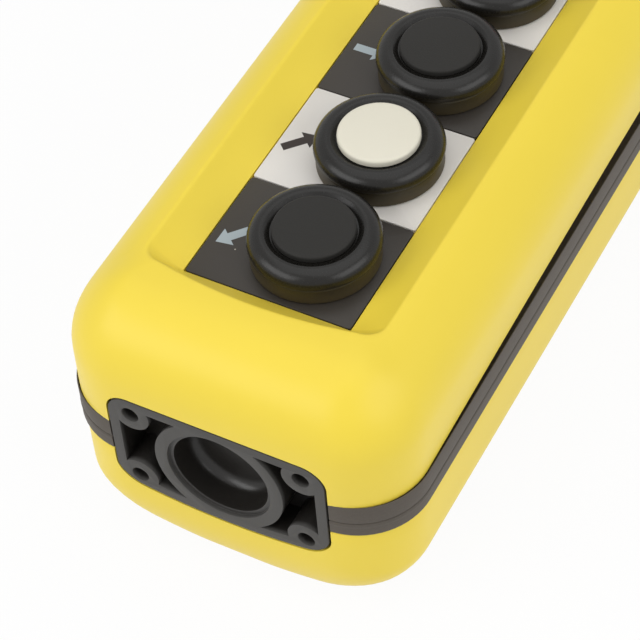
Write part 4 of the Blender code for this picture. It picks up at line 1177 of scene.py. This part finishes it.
class PENDANT_OT_screws(bpy.types.Operator):
    """Housing screws with cross recesses"""

    bl_idname = "pendant.screws"
    bl_label = "Housing screws"

    def execute(self, context):
        low, high = SCREWS[0]
        x, y = (low.x + high.x) / 2, (low.y + high.y) / 2
        head = (high.x - low.x) / 2
        shank = 1.9 * MM
        under = low.z + 2.8 * MM
        corners = [
            (0.0, low.z, 0.0),
            (head * 0.7, low.z + 0.15 * MM, 1.4 * MM),
            (head, low.z + 1.5 * MM, 0.7 * MM),
            (head, under, 0.2 * MM),
            (shank, under, 0.2 * MM),
            (shank, high.z - 1.2 * MM, 0.2 * MM),
            (shank * 0.6, high.z, 0.2 * MM),
            (0.0, high.z, 0.0),
        ]
        first = turned("pan_screw_1", soften(corners, 4), 40)
        cross, blade = 2.1 * MM, 0.35 * MM
        for wide, deep in ((cross, blade), (blade, cross)):
            slot = block("cross", (-wide, -deep, low.z - MM), (wide, deep, low.z + 1.5 * MM))
            combine(first, slot)
        smooth(first)
        placed(first, (x, y, 0.0))
        coat(first, FINISHES["zinc"])
        for i, (low_i, high_i) in enumerate(SCREWS):
            step = ((low_i.x + high_i.x) / 2 - x, (low_i.y + high_i.y) / 2 - y, 0.0)
            screw = copied(first, f"pan_screw_{i + 1}", step) if i else first
            fitted(screw, HOUSING, "zinc_steel", f"housing_screw_{i + 1}")
        return {"FINISHED"}


class PENDANT_OT_inner_parts(bpy.types.Operator):
    """Finishes of the parts inside the housing, which keep their own shapes"""

    bl_idname = "pendant.inner_parts"
    bl_label = "Inner parts"

    def execute(self, context):
        kinds = {
            "plunger": "nylon",
            "guide_bush": "grey_nylon",
            "contact_block": "grey_nylon",
            "stop_stem": "nylon",
            "stop_guide_bush": "grey_nylon",
            "stop_contact_block": "grey_nylon",
            "mounting_rail": "zinc",
        }
        for name, node in frame["nodes"].items():
            kind = name.rsplit("_", 1)[0] if name[-1].isdigit() else name
            if kind in kinds:
                coat(node, FINISHES[kinds[kind]])
        return {"FINISHED"}


class PENDANT_OT_springs(bpy.types.Operator):
    """Coil springs of the buttons and of the stop button"""

    bl_idname = "pendant.springs"
    bl_label = "Springs"

    def execute(self, context):
        sizes = context.scene.pendant_button
        for i, y in enumerate(SWITCHES[:BUTTONS]):
            node, joint = f"return_spring_{i + 1}", f"button_{i + 1}_press"
            self.coil(f"coil_{i + 1}", node, y, joint, sizes.travel, sizes)
        self.coil("stop_coil", "stop_spring", SWITCHES[-1], "stop_press", sizes.stop_travel, sizes)
        return {"FINISHED"}

    def coil(self, name, node, y, joint, travel, sizes, turns=3):
        wire = sizes.spring_wire
        low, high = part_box(node)
        height = high.z - low.z
        deselect()
        start = ((high.x - low.x) / 2 - wire, 0.0, wire)
        upright = (math.radians(90.0), 0.0, 0.0)
        bpy.ops.mesh.primitive_circle_add(vertices=12, radius=wire, location=start, rotation=upright)
        piece = begin(name)
        pitch = (height - 2.0 * wire) / turns
        steps = TURN_STEPS // 2
        turn = 2.0 * math.pi
        modify(piece, "SCREW", steps=steps, render_steps=steps, iterations=turns, screw_offset=pitch, angle=turn)
        with editing(piece):
            bpy.ops.mesh.select_all(action="SELECT")
            bpy.ops.mesh.remove_doubles(threshold=MERGE)
            bpy.ops.mesh.fill_holes(sides=0)
            bpy.ops.mesh.select_all(action="SELECT")
            bpy.ops.mesh.normals_make_consistent(inside=False)
        smooth(placed(piece, (SWITCH_X, y, low.z)))
        coat(piece, FINISHES["spring"])
        fitted(piece, HOUSING, "spring_steel", node)
        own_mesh(piece)


# Finishes

FINISHES = {}
DUST = (0.5, 0.46, 0.4, 1.0)
GLOSS_VARY = 0.06
VECTOR = "NodeSocketVector"
FLOAT = "NodeSocketFloat"


def group_of(name, inputs, outputs):
    """An empty shader node group with named sockets, and its source and sink."""
    made = bpy.data.node_groups.new(name, "ShaderNodeTree")
    for label, kind, default in inputs:
        socket = made.interface.new_socket(name=label, in_out="INPUT", socket_type=kind)
        if default is not None:
            socket.default_value = default
    for label in outputs:
        made.interface.new_socket(name=label, in_out="OUTPUT", socket_type=FLOAT)
    return made, made.nodes.new("NodeGroupInput").outputs, made.nodes.new("NodeGroupOutput").inputs


def add(tree, kind, values=None, links=None, **settings):
    """Adds a node, with its settings, the values of its inputs and the outputs that lead to them."""
    node = tree.nodes.new(kind)
    for name, value in settings.items():
        setattr(node, name, value)
    for name, value in (values or {}).items():
        node.inputs[name].default_value = value
    for name, output in (links or {}).items():
        tree.links.new(output, node.inputs[name])
    return node


def calculate(tree, operation, *operands):
    """A math node on numbers and outputs."""
    node = add(tree, "ShaderNodeMath", operation=operation)
    for number, operand in enumerate(operands):
        if isinstance(operand, float):
            node.inputs[number].default_value = operand
        else:
            tree.links.new(operand, node.inputs[number])
    return node.outputs[0]


def noise(tree, place, size, detail, roughness):
    """Noise whose grains have this size."""
    values = {"Detail": detail, "Roughness": roughness}
    links = {"Vector": place, "Scale": calculate(tree, "DIVIDE", 1.0, size)}
    return add(tree, "ShaderNodeTexNoise", values, links).outputs["Fac"]


def blended(tree, factor, under, over, kind="RGBA"):
    """Mixes a fixed colour or value over an output."""
    mix = add(tree, "ShaderNodeMix", data_type=kind)
    mix.inputs["B"].default_value = over
    tree.links.new(under, mix.inputs["A"])
    tree.links.new(factor, mix.inputs["Factor"])
    return mix.outputs["Result"]


def seen_ray(tree):
    """1 where a ray comes straight from the camera, by a reflection or through glass, so sees the backdrop."""
    path = add(tree, "ShaderNodeLightPath").outputs
    seen = calculate(tree, "MAXIMUM", path["Is Camera Ray"], path["Is Glossy Ray"])
    return calculate(tree, "MAXIMUM", seen, path["Is Transmission Ray"])


def grain_group():
    """Fine moulded grain: a height for the bump and a mask that shifts colour and gloss."""
    sockets = [("Place", VECTOR, None), ("Grain size", FLOAT, 0.0004), ("Cloud size", FLOAT, 0.02)]
    tree, source, sink = group_of("Moulded grain", sockets, ("Height", "Mask", "Cloud"))
    fine = noise(tree, source["Place"], source["Grain size"], 3.0, 0.55)
    tree.links.new(fine, sink["Height"])
    tree.links.new(fine, sink["Mask"])
    tree.links.new(noise(tree, source["Place"], source["Cloud size"], 2.0, 0.5), sink["Cloud"])
    return tree


def dust_group():
    """Scattered specks of dust as a mask."""
    sockets = [("Place", VECTOR, None), ("Spacing", FLOAT, 0.004), ("Speck", FLOAT, 0.03)]
    tree, source, sink = group_of("Dust specks", sockets, ("Mask",))
    links = {"Vector": source["Place"], "Scale": calculate(tree, "DIVIDE", 1.0, source["Spacing"])}
    cells = add(tree, "ShaderNodeTexVoronoi", {"Randomness": 1.0}, links)
    near = calculate(tree, "LESS_THAN", cells.outputs["Distance"], source["Speck"])
    pick = add(tree, "ShaderNodeSeparateColor", links={0: cells.outputs["Color"]})
    some = calculate(tree, "LESS_THAN", pick.outputs[0], 0.3)
    tree.links.new(calculate(tree, "MULTIPLY", near, some), sink["Mask"])
    return tree


def streak_group():
    """Fine streaks along one direction, as drawn or brushed surfaces have."""
    sockets = [("Place", VECTOR, None), ("Stretch", VECTOR, (1.0, 0.05, 1.0)), ("Size", FLOAT, 0.0005)]
    tree, source, sink = group_of("Streaks", sockets, ("Mask",))
    links = {0: source["Place"], 1: source["Stretch"]}
    stretched = add(tree, "ShaderNodeVectorMath", links=links, operation="MULTIPLY")
    tree.links.new(noise(tree, stretched.outputs[0], source["Size"], 3.0, 0.6), sink["Mask"])
    return tree


def fade_group():
    """A mask that grows from 0 to 1 between two places along a direction."""
    sockets = [("Place", VECTOR, None), ("Along", VECTOR, (0.0, 0.0, 1.0))]
    sockets += [("Start", FLOAT, 0.0), ("End", FLOAT, 1.0)]
    tree, source, sink = group_of("Fade", sockets, ("Mask",))
    links = {0: source["Place"], 1: source["Along"]}
    along = add(tree, "ShaderNodeVectorMath", links=links, operation="DOT_PRODUCT")
    links = {"Value": along.outputs["Value"], "From Min": source["Start"], "From Max": source["End"]}
    tree.links.new(add(tree, "ShaderNodeMapRange", links=links).outputs["Result"], sink["Mask"])
    return tree


def fade_colour(made, groups, along, start, end, colour, roughness, most=1.0):
    """Fades a finish to another colour and gloss between two places along a direction; here it paints shade into
    the end plate and a yellow reflection, with dust, low on the boots.
    """
    tree = made.node_tree
    shader = tree.nodes["Principled BSDF"]
    place = next(n for n in tree.nodes if n.bl_idname == "ShaderNodeTexCoord").outputs["Object"]
    values = {"Along": along, "Start": start, "End": end}
    fade = add(tree, "ShaderNodeGroup", values, {"Place": place}, node_tree=groups["fade"])
    part = calculate(tree, "MULTIPLY", fade.outputs["Mask"], most)
    for socket, kind, over in (("Base Color", "RGBA", (*colour, 1.0)), ("Roughness", "FLOAT", roughness)):
        under = shader.inputs[socket].links[0].from_socket
        tree.links.new(blended(tree, part, under, over, kind), shader.inputs[socket])
    return made


def shade(colour, factor):
    return (*(min(channel * factor, 1.0) for channel in colour), 1.0)


def material(name, colour, roughness, groups, grain=0.0004, cloud=0.02, bump=0.00002, vary=0.05, dust=0.0,
             streaks=None, metallic=0.0, specular=0.5):
    """A moulded, printed, rubber or metal finish from the shared groups."""
    made = bpy.data.materials.new(name)
    made.use_nodes = True
    tree = made.node_tree
    shader = tree.nodes["Principled BSDF"]
    shader.inputs["Metallic"].default_value = metallic
    shader.inputs["Specular IOR Level"].default_value = specular
    place = {"Place": add(tree, "ShaderNodeTexCoord").outputs["Object"]}
    values = {"Grain size": grain, "Cloud size": cloud}
    grains = add(tree, "ShaderNodeGroup", values, place, node_tree=groups["grain"]).outputs

    mix = add(tree, "ShaderNodeMix", data_type="RGBA")
    mix.inputs["A"].default_value = shade(colour, 1.0 - vary)
    mix.inputs["B"].default_value = shade(colour, 1.0 + vary)
    tree.links.new(grains["Cloud"], mix.inputs["Factor"])
    last = mix.outputs["Result"]
    height = grains["Height"]
    if streaks:
        values = {"Stretch": streaks["stretch"], "Size": streaks["size"]}
        streak = add(tree, "ShaderNodeGroup", values, place, node_tree=groups["streaks"]).outputs["Mask"]
        share = calculate(tree, "MULTIPLY", streak, streaks["amount"])
        last = blended(tree, share, last, shade(colour, streaks["factor"]))
        height = calculate(tree, "ADD", height, streak)
    if dust:
        specks = add(tree, "ShaderNodeGroup", {"Spacing": dust}, place, node_tree=groups["dust"])
        last = blended(tree, specks.outputs["Mask"], last, DUST)
    tree.links.new(last, shader.inputs["Base Color"])

    values = {"To Min": roughness - GLOSS_VARY, "To Max": roughness + GLOSS_VARY}
    rough = add(tree, "ShaderNodeMapRange", values, {"Value": grains["Mask"]})
    tree.links.new(rough.outputs["Result"], shader.inputs["Roughness"])
    raised = add(tree, "ShaderNodeBump", {"Strength": 1.0, "Distance": bump}, {"Height": height})
    tree.links.new(raised.outputs["Normal"], shader.inputs["Normal"])
    return made


class PENDANT_OT_finishes(bpy.types.Operator):
    """Materials of every piece"""

    bl_idname = "pendant.finishes"
    bl_label = "Finishes"

    def execute(self, context):
        colours = context.scene.pendant_colours
        groups = {"grain": grain_group(), "dust": dust_group(), "streaks": streak_group(), "fade": fade_group()}
        along = {"stretch": (1.0, 0.04, 1.0), "size": 0.0006, "amount": 0.5, "factor": 1.5}
        plate = material("Plate moulding", colours.moulding, 0.30, groups, bump=0.00003, vary=0.12, dust=0.006,
                         specular=0.4)
        rubber = material("Boot rubber", colours.rubber, 0.26, groups, grain=0.0006, bump=0.00002, vary=0.15,
                          dust=0.005, specular=0.28)
        FINISHES.update(
            yellow=material("Yellow moulding", colours.yellow, 0.40, groups, grain=0.0005, cloud=0.03,
                            bump=0.000012, vary=0.025, specular=0.3),
            stop_print=material("Yellow print", colours.stop_yellow, 0.45, groups),
            band=material("Band rubber", colours.band, 0.62, groups, bump=0.00003, vary=0.12, streaks=along,
                          specular=0.35),
            moulding=material("Black moulding", colours.moulding, 0.45, groups, bump=0.00003, vary=0.12,
                              dust=0.006, specular=0.35),
            # The plate's pockets, port, holes and sides stay darker than its face: painted shade.
            plate=fade_colour(plate, groups, (0.0, -1.0, 0.0), -LOW_END - 1.3 * MM, -LOW_END - 0.1 * MM,
                      colours.plate_face_over_painted_shade, 0.62),
            # The boots turn brownish towards the bottom. This is a painted reflection of the yellow housing,
            # together with dust.
            rubber=fade_colour(rubber, groups, (0.0, 0.0, -1.0), -LEGEND_FACE - 6.0 * MM, -LEGEND_FACE - 1.5 * MM,
                       colours.dust_and_reflected_yellow, 0.55, 0.75),
            sleeve=material("Sleeve rubber", colours.rubber, 0.5, groups, bump=0.00003, vary=0.15, dust=0.008,
                            specular=0.35),
            dark_cap=material("Dark cap", colours.dark_cap, 0.6, groups, grain=0.0003, bump=0.00003, vary=0.1,
                              specular=0.2),
            cream_cap=material("Cream cap", colours.cream_cap, 0.42, groups, vary=0.03, specular=0.4),
            dark_print=material("Black print", colours.dark_print, 0.45, groups, vary=0.08, dust=0.007,
                                specular=0.35),
            white_print=material("White print", colours.white_print, 0.42, groups, vary=0.02, specular=0.4),
            pale_arrow=material("Pale ink", colours.pale_arrow, 0.5, groups, grain=0.0003, vary=0.06),
            dark_arrow=material("Dark ink", colours.dark_arrow, 0.5, groups, grain=0.0003, vary=0.06,
                                specular=0.35),
            red=material("Red moulding", colours.red, 0.3, groups, bump=0.00001, vary=0.04),
            nylon=material("Natural nylon", colours.nylon, 0.5, groups),
            grey_nylon=material("Grey nylon", colours.grey_nylon, 0.5, groups),
            zinc=material("Zinc plated steel", colours.steel, 0.32, groups, vary=0.1, metallic=1.0),
            spring=material("Spring steel", colours.steel, 0.25, groups, metallic=1.0,
                            streaks={"stretch": (1.0, 1.0, 0.1), "size": 0.0004, "amount": 0.3, "factor": 0.6}),
        )
        return {"FINISHED"}


class PENDANT_OT_stage(bpy.types.Operator):
    """Camera, white surroundings, soft lights and floor"""

    bl_idname = "pendant.stage"
    bl_label = "Stage"

    def execute(self, context):
        settings = context.scene.pendant_stage
        self.camera(context.scene, settings)
        self.world(context.scene, settings)
        self.lamp("Top softbox", settings.above, (0.0, 0.0, 1.1), (1.2, 1.2))
        self.lamp("Left softbox", settings.left, (-0.43, -0.72, 0.54), (0.8, 0.5))
        self.lamp("Right softbox", settings.right, (0.75, -0.16, 0.54), (0.8, 0.5))
        self.floor(settings)
        context.scene.view_settings.view_transform = "Standard"
        return {"FINISHED"}

    def camera(self, scene, settings):
        a, e, r = settings.azimuth, settings.elevation, settings.roll
        back = Vector((math.sin(a) * math.cos(e), -math.cos(a) * math.cos(e), math.sin(e)))
        right = Vector((math.cos(a), math.sin(a), 0.0))
        up = back.cross(right)
        tilted_right = math.cos(r) * right + math.sin(r) * up
        tilted_up = -math.sin(r) * right + math.cos(r) * up
        turn = Matrix((tilted_right, tilted_up, back)).transposed()
        aim = Vector((0.0, LEGENDS[0][0].y - 0.15 * MM, LEGEND_FACE))
        lens = bpy.data.cameras.new("Camera")
        lens.lens = settings.lens
        lens.sensor_width = 36.0
        lens.dof.use_dof = False
        camera = bpy.data.objects.new("Camera", lens)
        place = aim + turn @ Vector((settings.across, settings.up, settings.distance))
        camera.matrix_world = Matrix.Translation(place) @ turn.to_4x4()
        scene.collection.objects.link(camera)
        scene.camera = camera

    def world(self, scene, settings):
        world = bpy.data.worlds.new("White surroundings")
        scene.world = world
        world.use_nodes = True
        tree = world.node_tree
        tree.nodes.clear()
        white = (1.0, 1.0, 1.0, 1.0)
        lit = add(tree, "ShaderNodeBackground", {"Color": white, "Strength": settings.sky})
        seen = add(tree, "ShaderNodeBackground", {"Color": white, "Strength": 1.0})
        links = {"Fac": seen_ray(tree), 1: lit.outputs[0], 2: seen.outputs[0]}
        mix = add(tree, "ShaderNodeMixShader", links=links)
        add(tree, "ShaderNodeOutputWorld", links={"Surface": mix.outputs[0]})

    def lamp(self, name, power, place, size):
        aim = Vector((0.0, -0.10, 0.05))
        data = bpy.data.lights.new(name, "AREA")
        data.shape = "RECTANGLE"
        data.size, data.size_y = size
        data.energy = power
        lamp = bpy.data.objects.new(name, data)
        lamp.location = place
        lamp.rotation_euler = (aim - Vector(place)).to_track_quat("-Z", "Y").to_euler()
        bpy.context.scene.collection.objects.link(lamp)

    def floor(self, settings):
        deselect()
        bpy.ops.mesh.primitive_plane_add(size=6.0, location=(0.0, 0.0, -0.0002))
        floor = begin("studio_floor")
        paper = bpy.data.materials.new("White floor")
        paper.use_nodes = True
        tree = paper.node_tree
        tree.nodes.clear()
        dull = add(tree, "ShaderNodeBsdfDiffuse", {"Color": (0.9, 0.9, 0.9, 1.0)})
        glow = add(tree, "ShaderNodeEmission", {"Color": (1.0, 1.0, 1.0, 1.0), "Strength": 1.0})
        share = calculate(tree, "MULTIPLY", seen_ray(tree), 1.0 - settings.shade)
        links = {"Fac": share, 1: dull.outputs[0], 2: glow.outputs[0]}
        mix = add(tree, "ShaderNodeMixShader", links=links)
        add(tree, "ShaderNodeOutputMaterial", links={"Surface": mix.outputs[0]})
        coat(floor, paper)


OPERATORS = [
    PENDANT_OT_finishes,
    PENDANT_OT_front_shell,
    PENDANT_OT_back_shell,
    PENDANT_OT_seam_bands,
    PENDANT_OT_end_plate,
    PENDANT_OT_cable_sleeve,
    PENDANT_OT_legends,
    PENDANT_OT_boots,
    PENDANT_OT_caps,
    PENDANT_OT_emergency_stop,
    PENDANT_OT_screws,
    PENDANT_OT_inner_parts,
    PENDANT_OT_springs,
    PENDANT_OT_stage,
]


class PENDANT_PT_panel(bpy.types.Panel):
    """Lists the steps in the sidebar"""

    bl_idname = "PENDANT_PT_panel"
    bl_label = "Pendant control"
    bl_space_type = "VIEW_3D"
    bl_region_type = "UI"
    bl_category = "Pendant"

    def draw(self, context):
        for operator in OPERATORS:
            self.layout.operator(operator.bl_idname)


def register():
    for group in GROUPS.values():
        bpy.utils.register_class(group)
    for name, group in GROUPS.items():
        setattr(bpy.types.Scene, name, bpy.props.PointerProperty(type=group))
    for operator in OPERATORS:
        bpy.utils.register_class(operator)
    bpy.utils.register_class(PENDANT_PT_panel)


def unregister():
    bpy.utils.unregister_class(PENDANT_PT_panel)
    for operator in reversed(OPERATORS):
        bpy.utils.unregister_class(operator)
    for name in GROUPS:
        delattr(bpy.types.Scene, name)
    for group in reversed(GROUPS.values()):
        bpy.utils.unregister_class(group)


def main():
    register()
    bpy.ops.pendant.finishes()
    bpy.ops.pendant.front_shell()
    bpy.ops.pendant.back_shell()
    bpy.ops.pendant.seam_bands()
    bpy.ops.pendant.end_plate()
    bpy.ops.pendant.cable_sleeve()
    bpy.ops.pendant.legends()
    bpy.ops.pendant.boots()
    bpy.ops.pendant.caps()
    bpy.ops.pendant.emergency_stop()
    bpy.ops.pendant.screws()
    bpy.ops.pendant.inner_parts()
    bpy.ops.pendant.springs()
    bpy.ops.pendant.stage()


if __name__ == "__main__":
    main()
